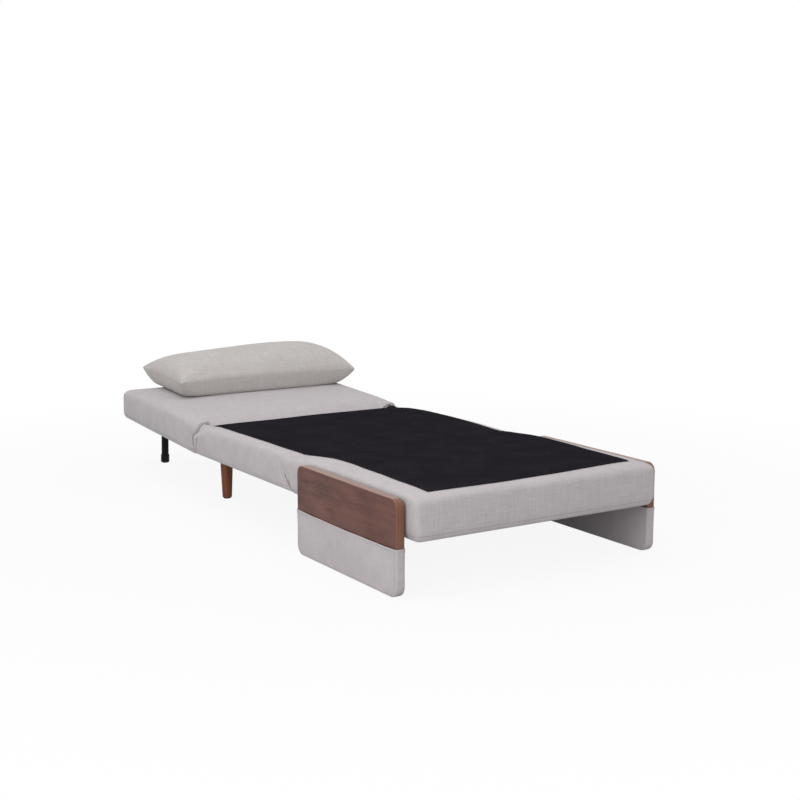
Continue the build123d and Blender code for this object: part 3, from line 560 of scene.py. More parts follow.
@dataclass(frozen=True)
class Veneer(Finish):
    """Walnut stained plywood: veneer on the wide faces and bare plies round the edge."""

    name: str
    dark: Colour
    warm: Colour
    light: Colour
    ply_dark: Colour
    ply_light: Colour
    inner_face: float = 0.391
    thickness: float = 0.024
    plies: int = 13
    cloud_stretch: Point = (1.0, 1.0, 2.2)

    def veneer(self, nodes: Nodes, place: Socket, wood: bpy.types.Node) -> Socket:
        """Colour the wide faces by the wood's figure, its pores and slow clouds.

        Args:
            nodes: The material's tree builder.
            place: The coordinate's socket.
            wood: The wood group's node.

        Returns:
            The veneer's colour.
        """
        figure = nodes.math("MULTIPLY_ADD", wood.outputs["Pores"], 0.35, wood.outputs["Figure"])
        cloud = nodes.noise(nodes.stretch(place, self.cloud_stretch), scale=9.0, detail=3.0, roughness=0.6)
        figure = nodes.math("ADD", figure, nodes.math("MULTIPLY_ADD", cloud, 0.5, -0.42))
        return nodes.ramp(figure, [(0.30, self.dark), (0.52, self.warm), (0.80, self.light)])

    def edge(self, nodes: Nodes, place: Socket, wood: bpy.types.Node) -> Socket:
        """Colour the narrow faces by their plies and the wood's pores.

        Args:
            nodes: The material's tree builder.
            place: The coordinate's socket.
            wood: The wood group's node.

        Returns:
            The plies' colour.
        """
        depth = nodes.math("SUBTRACT", nodes.math("ABSOLUTE", nodes.split(place)[0]), self.inner_face)
        ply = nodes.math("SINE", nodes.math("MULTIPLY", depth, math.pi * self.plies / self.thickness))
        layer = nodes.math("MULTIPLY_ADD", ply, 0.32, 0.15)
        grain = nodes.math("MULTIPLY_ADD", wood.outputs["Pores"], 0.7, layer)
        return nodes.blend(nodes.within(grain), self.ply_dark, self.ply_light)

    def shade(self, nodes: Nodes, shader: bpy.types.Node) -> None:
        """Fill in the board, whose wide faces look along X and whose grain runs along Y.

        Args:
            nodes: The material's tree builder.
            shader: Its Principled BSDF.
        """
        place = nodes.add("TexCoord").outputs
        turned = nodes.stretch(place["Object"], (1.0, 1.0, 1.0), (math.pi / 2, 0, 0))
        wood = nodes.use(shared(wood_group), Coordinate=turned, Fineness=0.8)
        wide = nodes.range(nodes.math("ABSOLUTE", nodes.split(place["Normal"])[0]), 0.80, 0.95)
        edge = self.edge(nodes, place["Object"], wood)
        colour = nodes.blend(wide, edge, self.veneer(nodes, place["Object"], wood))
        nodes.fill(shader, {"Base Color": colour, "Roughness": 0.45, "Specular IOR Level": 0.22,
                            "Coat Weight": nodes.range(wide, 0.0, 1.0, 0.45, 0.1), "Coat Roughness": 0.14})
        self.bump(nodes, shader, wood.outputs["Height"], strength=0.12, depth=0.0004)


@dataclass(frozen=True)
class Timber(Finish):
    """Solid wood with its grain along one axis."""

    name: str
    dark: Colour
    light: Colour
    turn: Point = (0.0, 0.0, 0.0)
    roughness: float = 0.5
    fineness: float = 1.6

    def shade(self, nodes: Nodes, shader: bpy.types.Node) -> None:
        """Fill in the wood.

        Args:
            nodes: The material's tree builder.
            shader: Its Principled BSDF.
        """
        turned = nodes.stretch(nodes.add("TexCoord").outputs["Object"], (1.0, 1.0, 1.0), self.turn)
        wood = nodes.use(shared(wood_group), Coordinate=turned, Fineness=self.fineness).outputs
        amount = nodes.range(nodes.math("MULTIPLY_ADD", wood["Pores"], 0.4, wood["Figure"]), 0.45, 0.95)
        nodes.fill(shader, {"Base Color": nodes.blend(amount, self.dark, self.light),
                            "Roughness": self.roughness, "Specular IOR Level": 0.18})
        self.bump(nodes, shader, wood["Height"], strength=0.1, depth=0.0004)


@dataclass(frozen=True)
class Hard(Finish):
    """Metal, paint or plastic: one colour with fine grain, drift and uneven gloss."""

    name: str
    colour: Colour
    worn: Colour
    roughness: float
    metallic: float = 0.0
    fine: float = 900.0
    relief: float = 0.08
    specular: float = 0.5

    def shade(self, nodes: Nodes, shader: bpy.types.Node) -> None:
        """Fill in the finish.

        Args:
            nodes: The material's tree builder.
            shader: Its Principled BSDF.
        """
        place = nodes.add("TexCoord").outputs["Object"]
        speckle = nodes.use(shared(speckle_group), Coordinate=place, Fine=self.fine, Slow=24.0).outputs
        amount = nodes.range(speckle["Drift"], 0.35, 0.75)
        gloss = nodes.math("MULTIPLY_ADD", speckle["Drift"], 0.25, self.roughness - 0.12)
        nodes.fill(shader, {"Base Color": nodes.blend(amount, self.colour, self.worn), "Roughness": gloss,
                            "Metallic": self.metallic, "Specular IOR Level": self.specular})
        self.bump(nodes, shader, speckle["Grain"], self.relief, depth=0.0003)


@dataclass(frozen=True)
class Foam(Finish):
    """Open-cell foam or loose fibre."""

    name: str
    colour: Colour
    pore: Colour
    cells_per_metre: float

    def shade(self, nodes: Nodes, shader: bpy.types.Node) -> None:
        """Fill in the foam.

        Args:
            nodes: The material's tree builder.
            shader: Its Principled BSDF.
        """
        cells = nodes.add("TexVoronoi")
        place = nodes.add("TexCoord").outputs["Object"]
        nodes.fill(cells, {"Vector": place, "Scale": self.cells_per_metre})
        distance = cells.outputs["Distance"]
        colour = nodes.blend(nodes.range(distance, 0.1, 0.7), self.pore, self.colour)
        nodes.fill(shader, {"Base Color": colour, "Roughness": 0.95})
        self.bump(nodes, shader, distance, strength=0.5, depth=0.0008)


@dataclass(frozen=True)
class Webbing(Finish):
    """Elastic webbing with ribs across it."""

    name: str
    colour: Colour
    stripe: Colour
    pitch: float = 0.0024

    def shade(self, nodes: Nodes, shader: bpy.types.Node) -> None:
        """Fill in the webbing.

        Args:
            nodes: The material's tree builder.
            shader: Its Principled BSDF.
        """
        place = nodes.add("TexCoord").outputs
        weave = nodes.use(shared(weave_group), Coordinate=place["Object"], Facing=place["Normal"],
                          Pitch=self.pitch).outputs
        amount = nodes.math("MULTIPLY_ADD", weave["Tone"], 0.8, 0.4, clamp=True)
        colour = nodes.blend(amount, self.colour, self.stripe)
        nodes.fill(shader, {"Base Color": colour, "Roughness": 0.8})
        self.bump(nodes, shader, weave["Height"], strength=0.6, depth=0.0006)


class Finishes(Enum):
    """Every finish on the chair bed."""

    SECTION = Linen("section_linen", tone(192, 186, 188), tone(175, 169, 171))
    PILLOW = Linen("pillow_linen", tone(194, 190, 188), tone(179, 173, 170), pitch=0.0015, slub=0.2,
                   seam_tone=0.08)
    BLACK_CLOTH = NonWoven("spun_black", tone(33, 31, 36), tone(52, 50, 56))
    BOARD = Veneer("board_walnut", tone(70, 36, 29), tone(98, 59, 50), tone(116, 74, 62),
                   ply_dark=tone(92, 52, 36), ply_light=tone(140, 94, 70))
    LEG = Timber("leg_walnut", tone(84, 44, 28), tone(146, 94, 68))
    FRAME = Timber("frame_pine", tone(176, 136, 92), tone(214, 182, 138), turn=(math.pi / 2, 0, 0),
                   roughness=0.7, fineness=1.0)
    POWDER_COAT = Hard("tube_powder_coat", tone(8, 8, 11), tone(16, 16, 19), roughness=0.5, fine=1400.0,
                       relief=0.2, specular=0.12)
    BLACK_PLASTIC = Hard("moulded_black", tone(10, 10, 12), tone(18, 18, 21), roughness=0.45, relief=0.2,
                         specular=0.15)
    ZINC = Hard("zinc_plate", tone(158, 160, 164), tone(190, 190, 190), roughness=0.34, metallic=1.0)
    SPRING = Hard("spring_wire", tone(96, 96, 100), tone(140, 138, 136), roughness=0.36, metallic=1.0)
    FOAM = Foam("seat_foam", tone(226, 216, 180), tone(196, 182, 142), cells_per_metre=520.0)
    FIBRE = Foam("pillow_fibre", tone(238, 238, 236), tone(214, 214, 212), cells_per_metre=240.0)
    WEBBING = Webbing("elastic_webbing", tone(40, 40, 44), tone(98, 96, 98))

    def dress(self, obj: bpy.types.Object) -> None:
        """Give an object this finish in every slot.

        Args:
            obj: The object, a new piece or a CAD node.
        """
        if not obj.material_slots:
            obj.data.materials.append(self.value.material())
        for slot in obj.material_slots:
            slot.material = self.value.material()


# --- Modelling helpers ---


def activate(obj: bpy.types.Object) -> None:
    """Select one object alone and make it active.

    Args:
        obj: The object.
    """
    bpy.ops.object.select_all(action="DESELECT")
    obj.select_set(True)
    bpy.context.view_layer.objects.active = obj


@contextmanager
def editing(obj: bpy.types.Object, mode: str = "EDGE") -> Iterator[bmesh.types.BMesh]:
    """Open one object in edit mode with nothing selected.

    Args:
        obj: The object.
        mode: VERT, EDGE or FACE.

    Yields:
        The mesh being edited.
    """
    activate(obj)
    bpy.ops.object.mode_set(mode="EDIT")
    bpy.ops.mesh.select_mode(type=mode)
    bpy.ops.mesh.select_all(action="DESELECT")
    yield bmesh.from_edit_mesh(obj.data)
    bpy.ops.object.mode_set(mode="OBJECT")


def pick_edges(obj: bpy.types.Object, test: Callable[[Vector, Vector], bool]) -> None:
    """Select the edges whose two ends pass a test, in edit mode.

    Args:
        obj: The object in edit mode.
        test: Takes the two ends.
    """
    shape = bmesh.from_edit_mesh(obj.data)
    for edge in shape.edges:
        edge.select_set(test(edge.verts[0].co, edge.verts[1].co))
    bmesh.update_edit_mesh(obj.data)


def pick_faces(obj: bpy.types.Object, test: Callable[[Vector, Vector], bool]) -> None:
    """Select the faces whose centre and normal pass a test, in edit mode.

    Args:
        obj: The object in edit mode.
        test: Takes the centre and the normal.
    """
    shape = bmesh.from_edit_mesh(obj.data)
    for face in shape.faces:
        face.select_set(test(face.calc_center_median(), face.normal))
    bmesh.update_edit_mesh(obj.data)


def settle(obj: bpy.types.Object) -> None:
    """Move an object's place into its mesh."""
    activate(obj)
    bpy.ops.object.transform_apply(location=True, rotation=True, scale=True)


def block(name: str, low: Sequence[float], high: Sequence[float]) -> bpy.types.Object:
    """Add a box between two corners, to be shaped.

    Args:
        name: The piece's name.
        low: Its lowest corner.
        high: Its highest corner.

    Returns:
        The new object.
    """
    bpy.ops.object.select_all(action="DESELECT")
    centre = [(a + b) / 2 for a, b in zip(low, high)]
    size = [b - a for a, b in zip(low, high)]
    bpy.ops.mesh.primitive_cube_add(size=1.0, location=centre, scale=size)
    obj = bpy.context.object
    obj.name = obj.data.name = name
    settle(obj)
    return obj


def apply_modifier(obj: bpy.types.Object, kind: str, **settings: object) -> None:
    """Add a modifier and apply it.

    Args:
        obj: The object.
        kind: The modifier's type.
        **settings: Its properties.
    """
    activate(obj)
    modifier = obj.modifiers.new(kind.title(), kind)
    for name, value in settings.items():
        setattr(modifier, name, value)
    bpy.ops.object.modifier_apply(modifier=modifier.name)


def points(obj: bpy.types.Object) -> np.ndarray:
    """Read an object's vertices.

    Args:
        obj: The object.

    Returns:
        Their places, as rows of x, y and z.
    """
    found = np.empty(len(obj.data.vertices) * 3)
    obj.data.vertices.foreach_get("co", found)
    return found.reshape(-1, 3)


def move_points(obj: bpy.types.Object, places: np.ndarray) -> None:
    """Put an object's vertices at new places."""
    obj.data.vertices.foreach_set("co", places.reshape(-1))
    obj.data.update()


def smooth(obj: bpy.types.Object, angle: float = 40.0) -> None:
    """Shade an object smooth below an angle in degrees."""
    activate(obj)
    bpy.ops.object.shade_smooth_by_angle(angle=math.radians(angle))


def ease(value: np.ndarray, low: float, high: float) -> np.ndarray:
    """Rise smoothly from 0 at low to 1 at high.

    Args:
        value: Where to look.
        low: Where the rise starts.
        high: Where it ends.

    Returns:
        The smooth step at each value.
    """
    t = np.clip((value - low) / (high - low), 0.0, 1.0)
    return t * t * (3 - 2 * t)


def along(value: np.ndarray, knots: Knots, blur: float = 0.016) -> np.ndarray:
    """Look values up on a smoothed line through knots.

    Args:
        value: Where to look.
        knots: Places and their values, in order.
        blur: How far the line's corners are smoothed.

    Returns:
        The line's value at each place.
    """
    step, margin = 0.002, 0.1
    grid = np.arange(knots[0][0] - margin, knots[-1][0] + margin, step)
    line = np.interp(grid, *zip(*knots))
    kernel = np.exp(-(np.arange(-3 * blur, 3 * blur + step / 2, step) / blur) ** 2)
    padded = np.pad(line, len(kernel) // 2, mode="edge")
    return np.interp(value, grid, np.convolve(padded, kernel / kernel.sum(), mode="valid")[:len(grid)])


def near_line(a: np.ndarray, b: np.ndarray, start: tuple[float, float], end: tuple[float, float],
              width: float) -> np.ndarray:
    """Weigh places by how near they are to a line, fading at its ends.

    Args:
        a: First coordinate of the places.
        b: Second coordinate of the places.
        start: The line's start.
        end: The line's end.
        width: How far the weight reaches.

    Returns:
        The weight at each place, 1 on the line's middle.
    """
    step = (end[0] - start[0], end[1] - start[1])
    length = math.hypot(*step)
    share = ((a - start[0]) * step[0] + (b - start[1]) * step[1]) / length ** 2
    off = ((a - start[0]) * step[1] - (b - start[1]) * step[0]) / length
    taper = ease(share, -0.1, 0.25) * (1 - ease(share, 0.75, 1.1))
    return np.exp(-(off / width) ** 2) * taper


def inflate(obj: bpy.types.Object, pressure: float, cap: float,
            pinned: Callable[[np.ndarray], np.ndarray], frames: int = 20) -> None:
    """Swell an object with cloth under pressure, and keep how far it moves under a cap.

    Args:
        obj: The object, already remeshed.
        pressure: The cloth's pressure.
        cap: The most that a point moves, in metres.
        pinned: Gives each point's hold, 1 where the cloth is nailed down.
        frames: How many steps are simulated.
    """
    rest = points(obj)
    holds = pinned(rest)
    pins = obj.vertex_groups.new(name="nailed")
    for index in np.nonzero(holds > 0.01)[0]:
        pins.add([int(index)], float(holds[index]), "REPLACE")
    activate(obj)
    cloth = obj.modifiers.new("Cloth", "CLOTH")
    cloth.settings.quality = 5
    cloth.settings.use_pressure = True
    cloth.settings.uniform_pressure_force = pressure
    cloth.settings.effector_weights.gravity = 0.0
    cloth.settings.vertex_group_mass = "nailed"
    cloth.point_cache.frame_start = 1
    cloth.point_cache.frame_end = frames
    scene = bpy.context.scene
    for step in range(1, frames + 1):
        scene.frame_set(step)
    bpy.ops.object.modifier_apply(modifier=cloth.name)
    scene.frame_set(1)
    moved = points(obj) - rest
    length = np.linalg.norm(moved, axis=1, keepdims=True)
    share = cap * np.tanh(length / cap) / np.maximum(length, 1e-9)
    move_points(obj, rest + moved * share)
    obj.vertex_groups.clear()


def set_seam_and_crease_shade(obj: bpy.types.Object, distance: np.ndarray) -> None:
    """Store how far each point is from the nearest seam, in metres; values below 0 mark where the linen
    paints crease shade.
    """
    layer = obj.data.attributes.new("seam", "FLOAT", "POINT")
    layer.data.foreach_set("value", distance.astype(np.float32))


# --- Upholstered sections ---


Crease = tuple[tuple[float, float], tuple[float, float], float, float]


@dataclass
class Section:
    """One upholstered section: foam on a frame under a sewn linen cover.

    A cut end is where the section meets its neighbour. Creases run on the side faces from one
    (y, z) to another, each with its width and depth, and those on the near side have x below 0.
    Levels raise the top along y. A boxed section's top steps round the recline hinges, and
    another's rises to a lip over them. Pairs of numbers say where a form starts and ends.
    """

    name: str
    body: str
    replaced: tuple[str, ...]
    low: Point
    high: Point
    cut_ends: tuple[bool, bool]
    levels: Knots
    crown: float
    corner_radius: float = 0.024
    top_radius: float = 0.024
    bottom_radius: float = 0.009
    slump: float = 0.0
    bulge: float = 0.002
    boxed: bool = False
    near_creases: tuple[Crease, ...] = ()
    far_creases: tuple[Crease, ...] = ()
    tilt: bool = False
    keep: float = 1.0
    seam_rise: float = 0.016
    voxel: float = 0.0075
    swell: float = 0.0025
    pressure: float = 6.0
    held_edge: tuple[float, float] = (0.010, 0.045)
    held_base: tuple[float, float] = (0.002, 0.020)
    overrun: float = 0.045
    spill: float = 0.007
    side_band: float = 0.03
    crease_band: tuple[float, float] = (0.035, 0.006)
    bulge_reach: float = 0.04
    level_blur: float = 0.012
    crown_reach: tuple[float, float] = (0.10, 0.09)
    slump_reach: float = 0.11
    slump_sides: tuple[float, float] = (0.008, 0.085)
    hinge_inner: tuple[float, float] = (0.318, 0.337)
    hinge_outer: tuple[float, float] = (0.358, 0.380)
    hinge_rear: float = 0.36
    hinge_fade: float = 0.02
    step_back: float = 0.0100
    step_rear: float = 0.035
    step_fade: float = 0.03
    lip_top: float = 0.2376
    lip_width: float = 0.017
    lip_start: tuple[float, float] = (0.258, 0.278)
    lip_end: tuple[float, float] = (0.303, 0.313)
    tuck: float = 0.0016
    tuck_reach: float = 0.007

    def ends(self, y: np.ndarray) -> Iterator[tuple[bool, np.ndarray, int]]:
        """Give, for each end, whether it is cut, the points' distance from it and its way."""
        yield self.cut_ends[0], y - self.low[1], -1
        yield self.cut_ends[1], self.high[1] - y, 1

    def creases(self) -> Iterator[tuple[int, Crease]]:
        """Give every crease with its side.

        Yields:
            -1 for the near side or 1 for the far one, and the crease.
        """
        for way, creases in ((-1, self.near_creases), (1, self.far_creases)):
            for crease in creases:
                yield way, crease

    def share(self, z: np.ndarray) -> np.ndarray:
        """Turn heights into shares of the section's own height."""
        return (z - self.low[2]) / (self.high[2] - self.low[2])

    def shell(self) -> bpy.types.Object:
        """Model the section's block with its rounded corners and edges, longer at its cut ends.

        Returns:
            The block, ready to be swelled.
        """
        low = list(self.low)
        high = list(self.high)
        low[1] -= self.overrun * self.cut_ends[0]
        high[1] += self.overrun * self.cut_ends[1]
        obj = block(self.name, low, high)
        with editing(obj):
            pick_edges(obj, lambda a, b: abs(a.z - b.z) > 0.05)
            bpy.ops.mesh.bevel(offset=self.corner_radius, segments=8, profile=0.5, affect="EDGES")
            for radius, level in ((self.top_radius, high[2]), (self.bottom_radius, low[2])):
                bpy.ops.mesh.select_all(action="DESELECT")
                pick_edges(obj, lambda a, b: abs(a.z - level) < 1e-5 and abs(b.z - level) < 1e-5)
                bpy.ops.mesh.bevel(offset=radius, segments=8, profile=0.5, affect="EDGES")
        apply_modifier(obj, "REMESH", mode="VOXEL", voxel_size=self.voxel)
        apply_modifier(obj, "SMOOTH", factor=0.5, iterations=3)
        return obj

    def hold(self, places: np.ndarray) -> np.ndarray:
        """Say where the cover is held: underneath, and along its sewn edges and corners.

        Args:
            places: The points, as rows.

        Returns:
            Each point's hold, from 0 to 1.
        """
        x, y, z = places.T
        room = np.stack([self.high[0] - np.abs(x), np.abs(y - self.low[1]), np.abs(self.high[1] - y),
                         self.high[2] - z, z - self.low[2]])
        second = np.sort(np.abs(room), axis=0)[1]
        edges = 1 - ease(second, *self.held_edge)
        under = 1 - ease(z, self.low[2] + self.held_base[0], self.low[2] + self.held_base[1])
        return np.maximum(edges, under)

    def cut(self, obj: bpy.types.Object) -> None:
        """Cut the block where it meets its neighbours, and close the cuts.

        Args:
            obj: The swelled block.
        """
        for is_cut, level, way in zip(self.cut_ends, (self.low[1], self.high[1]), (-1, 1)):
            if is_cut:
                with editing(obj):
                    bpy.ops.mesh.select_all(action="SELECT")
                    bpy.ops.mesh.bisect(plane_co=(0, level, 0), plane_no=(0, way, 0),
                                        clear_outer=True, use_fill=True)

    def refine(self, obj: bpy.types.Object) -> None:
        """Divide the mesh more finely around the creases.

        Args:
            obj: The swelled block.
        """
        spans = []
        for way, (start, end, width, _) in self.creases():
            room = 2.5 * width
            spans.append((way, min(start[0], end[0]) - room, max(start[0], end[0]) + room,
                          min(start[1], end[1]) - room, max(start[1], end[1]) + room))
        if not spans:
            return
        side = self.high[0] - self.side_band
        with editing(obj, "FACE"):
            pick_faces(obj, lambda c, n: any(c.x * way > side and y0 < c.y < y1 and z0 < c.z < z1
                                             for way, y0, y1, z0, z1 in spans))
            bpy.ops.mesh.subdivide(number_cuts=2)

    @staticmethod
    def waves(x: np.ndarray, y: np.ndarray) -> np.ndarray:
        """Give the top's slow waves and the finer ripples on them.

        Args:
            x: The points' x.
            y: The points' y.

        Returns:
            The waves' heights in metres.
        """
        slow, fine = 0.0010, 0.0006
        return slow * np.sin(y * 19.0 + 1.3) * np.sin(x * 8.0 + 0.7) + fine * np.sin(y * 43.0 + x * 15.0)

    def raise_top(self, p: np.ndarray, block_points: np.ndarray) -> None:
        """Give the top its levels, crown and slow waves, and its forms round the recline hinges.

        Args:
            p: The points, as rows, which are changed.
            block_points: The points as they were on the block.
        """
        level_heights, slump_heights = (0.25, 1.0), (0.45, 1.0)
        step_heights, lip_heights, outer_drop = (0.62, 0.80), (0.7, 0.9), 0.6
        x, y, z = block_points.T
        share = self.share(z)
        from_sides = self.high[0] - np.abs(x)
        rise = ease(from_sides, 0.0, self.crown_reach[0])
        for is_cut, distance, _ in self.ends(y):
            if not is_cut:
                rise = rise * ease(distance, 0.0, self.crown_reach[1])
        level = along(y, self.levels, self.level_blur)
        if self.boxed:
            hinge = ease(np.abs(x), *self.hinge_inner) * (1 - outer_drop * ease(np.abs(x), *self.hinge_outer))
            hinge = hinge * (share > 0.5)
            level = level * (1 - hinge * ease(self.hinge_rear - y, 0.0, self.hinge_fade))
            near_seam = ease(RECLINE_Y + self.step_rear - y, 0.0, self.step_fade)
            p[:, 1] -= self.step_back * hinge * near_seam * ease(share, *step_heights)
        p[:, 2] += (level + (self.crown + self.waves(x, y)) * rise) * ease(share, *level_heights)
        fall = self.slump * ease(y, RECLINE_Y - self.slump_reach, RECLINE_Y)
        p[:, 2] -= fall * (1 - ease(from_sides, *self.slump_sides)) * ease(share, *slump_heights)
        if not self.boxed:
            lip = np.exp(-((np.abs(x) - RECLINE_HINGE_X) / self.lip_width) ** 4)
            lip = lip * ease(y, *self.lip_start) * (1 - ease(y, *self.lip_end))
            p[:, 2] += np.maximum(self.lip_top - p[:, 2], 0) * lip * ease(share, *lip_heights)

    def fill_out(self, p: np.ndarray, block_points: np.ndarray) -> None:
        """Bulge the sides and the free ends, press in the creases and tuck in the cut edges.

        Args:
            p: The points, as rows, which are changed.
            block_points: The points as they were on the block.
        """
        x, y, z = block_points.T
        above = ease(self.share(z), 0, 0.3)
        outermost = ease(np.abs(x), self.high[0] - self.bulge_reach, self.high[0])
        p[:, 0] += np.sign(x) * self.bulge * outermost * above
        for is_cut, distance, way in self.ends(y):
            if not is_cut:
                p[:, 1] += way * self.bulge * (1 - ease(distance, 0.0, self.bulge_reach)) * above
        side = ease(np.abs(x), *[self.high[0] - inset for inset in self.crease_band])
        for way, (start, end, width, depth) in self.creases():
            p[:, 0] -= way * depth * near_line(y, z, start, end, width) * (side * (x * way > 0))
        from_middle = z - (self.low[2] + self.high[2]) / 2
        for is_cut, distance, _ in self.ends(y):
            if is_cut:
                tuck = self.tuck * np.clip(1 - distance / self.tuck_reach, 0, 1) ** 2
                p[:, 0] -= np.sign(x) * tuck * (np.abs(x) > self.high[0] - self.side_band)
                p[:, 2] -= np.sign(from_middle) * tuck * (np.abs(from_middle) > 0.03)

    def shape(self, obj: bpy.types.Object) -> None:
        """Shape the swelled block, and keep it off the arm boards and above its underside.

        Args:
            obj: The swelled block.
        """
        block_points = points(obj)
        p = block_points.copy()
        self.raise_top(p, block_points)
        self.fill_out(p, block_points)
        over = np.abs(p[:, 0]) - self.high[0]
        limited = np.sign(block_points[:, 0]) * (self.high[0] + self.spill * np.tanh(over / self.spill))
        p[:, 0] = np.where(over > 0, limited, p[:, 0])
        p[:, 2] = np.maximum(p[:, 2], self.low[2])
        # The seam attribute also marks where the linen paints shade into the creases.
        set_seam_and_crease_shade(obj, self.seam_and_crease_shade(*block_points.T))
        move_points(obj, p)

    def seam_and_crease_shade(self, x: np.ndarray, y: np.ndarray, z: np.ndarray) -> np.ndarray:
        """Say how far each point is from the seam round the section, below 0 where a crease gets painted
        shade.

        Args:
            x: The points' x.
            y: The points' y.
            z: The points' z.

        Returns:
            The distances in metres.
        """
        deep_crease, darkest = 0.004, 0.010
        distance = np.abs(z - (self.low[2] + self.seam_rise))
        # Creases of depth deep_crease or more get values below 0, down to -darkest, which the linen paints as
        # shade.
        for way, (start, end, width, depth) in self.creases():
            here = (depth >= deep_crease) * (x * way > self.high[0] - self.side_band)
            shade = near_line(y, z, start, end, width) * here
            distance = np.where(shade > 0.3, -darkest * shade, distance)
        return distance

    def build(self) -> bpy.types.Object:
        """Make the section's cushion and put it on its body.

        Returns:
            The finished cushion.
        """
        obj = self.shell()
        inflate(obj, self.pressure, self.swell, self.hold)
        apply_modifier(obj, "SUBSURF", levels=1, render_levels=1)
        self.cut(obj)
        self.refine(obj)
        self.shape(obj)
        if self.tilt:
            obj.data.transform(HEAD_TURN)
        smooth(obj, angle=60.0)
        Finishes.SECTION.dress(obj)
        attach(obj, self.body)
        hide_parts(*self.replaced)
        if self.keep < 1:
            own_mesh(obj)
        LOG.info("%s: %d points", obj.name, len(obj.data.vertices))
        return obj


@dataclass
class SleepCloth:
    """Black cloth over the base and foot section, one sheet across the fold."""

    near_edge: Knots
    far_edge: Knots
    foot_edge: Knots
    head_edge: float = 0.3146
    spacing: float = 0.009
    foot_blur: float = 0.05
    lift: float = 0.0012
    settled_lift: float = 0.6
    lip_lift: float = 2.0
    thickness: float = 0.0008
    over_strap: float = TOP + 0.0090
    strap_width: float = 0.042
    strap_reach: float = 0.030
    lip_width: float = 0.028
    lip_start: tuple[float, float] = (0.235, 0.265)
    lip_end: tuple[float, float] = (0.294, 0.310)
    bend: float = 0.012

    def spread(self) -> tuple[bpy.types.Object, float, float]:
        """Cut the cloth to its outline, flat.

        Returns:
            The cloth, its mean width and its length.
        """
        start, end = min(y for _, y in self.foot_edge), self.head_edge
        bpy.ops.object.select_all(action="DESELECT")
        bpy.ops.mesh.primitive_grid_add(x_subdivisions=int(2 * HALF_WIDTH / self.spacing),
                                        y_subdivisions=int((end - start) / self.spacing),
                                        size=1.0, location=(0, 0, TOP))
        obj = bpy.context.object
        obj.name = obj.data.name = "sleep_cloth"
        settle(obj)
        p = points(obj)
        u, v = p[:, 0] + 0.5, p[:, 1] + 0.5
        foot = along(u, self.foot_edge, self.foot_blur)
        p[:, 1] = foot + v * (end - foot)
        near, far = along(p[:, 1], self.near_edge), along(p[:, 1], self.far_edge)
        p[:, 0] = near + (far - near) * u
        move_points(obj, p)
        return obj, float(np.mean(far - near)), end - start

    def drape(self, obj: bpy.types.Object, under: Sequence[bpy.types.Object]) -> None:
        """Lay the flat cloth on the cushions, clear of the fold straps and the recline hinges.

        Args:
            obj: The flat cloth.
            under: The cushions that carry it.
        """
        trees = [BVHTree.FromPolygons([v.co for v in o.data.vertices], [f.vertices for f in o.data.polygons])
                 for o in under]
        p = points(obj)
        p[:, 2] = self.levels(p, trees)
        at_fold = np.exp(-((p[:, 1] - FOLD_Y) / self.strap_reach) ** 2)
        strap = np.exp(-((np.abs(p[:, 0]) - FOLD_HINGE_X) / self.strap_width) ** 4)
        p[:, 2] = np.maximum(p[:, 2], p[:, 2] + (self.over_strap - p[:, 2]) * at_fold * strap)
        p[:, 2] += self.lift
        move_points(obj, p)
        apply_modifier(obj, "SMOOTH", factor=0.5, iterations=2)
        p = points(obj)
        lip = np.exp(-((np.abs(p[:, 0]) - RECLINE_HINGE_X) / self.lip_width) ** 4)
        lip = lip * ease(p[:, 1], *self.lip_start) * (1 - ease(p[:, 1], *self.lip_end))
        lift = self.lift * (self.settled_lift + self.lip_lift * lip)
        p[:, 2] = np.maximum(p[:, 2], self.levels(p, trees) + lift)
        move_points(obj, p)

    def build(self, under: Sequence[bpy.types.Object]) -> bpy.types.Object:
        """Make the cloth and lay it on the cushions.

        Args:
            under: The cushions that carry it.

        Returns:
            The finished cloth.
        """
        obj, width, length = self.spread()
        self.drape(obj, under)
        apply_modifier(obj, "SOLIDIFY", thickness=self.thickness, offset=1.0)
        smooth(obj, angle=60.0)
        Finishes.BLACK_CLOTH.dress(obj)
        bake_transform(obj)
        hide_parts("base_sleep_panel", "foot_sleep_panel")
        LOG.info("%s: %.3f by %.3f m", obj.name, width, length)
        return obj

    @staticmethod
    def levels(places: np.ndarray, trees: Sequence[BVHTree]) -> np.ndarray:
        """Find the height of the cushions under each point.

        Args:
            places: The points, as rows.
            trees: The cushions, ready for casting rays.

        Returns:
            The heights.
        """
        overhead, down = 0.4, Vector((0, 0, -1))
        found = np.full(len(places), TOP)
        for index, (x, y, _) in enumerate(places):
            hits = [tree.ray_cast(Vector((x, y, overhead)), down)[0] for tree in trees]
            levels = [hit.z for hit in hits if hit is not None]
            if levels:
                found[index] = max(levels)
        return found


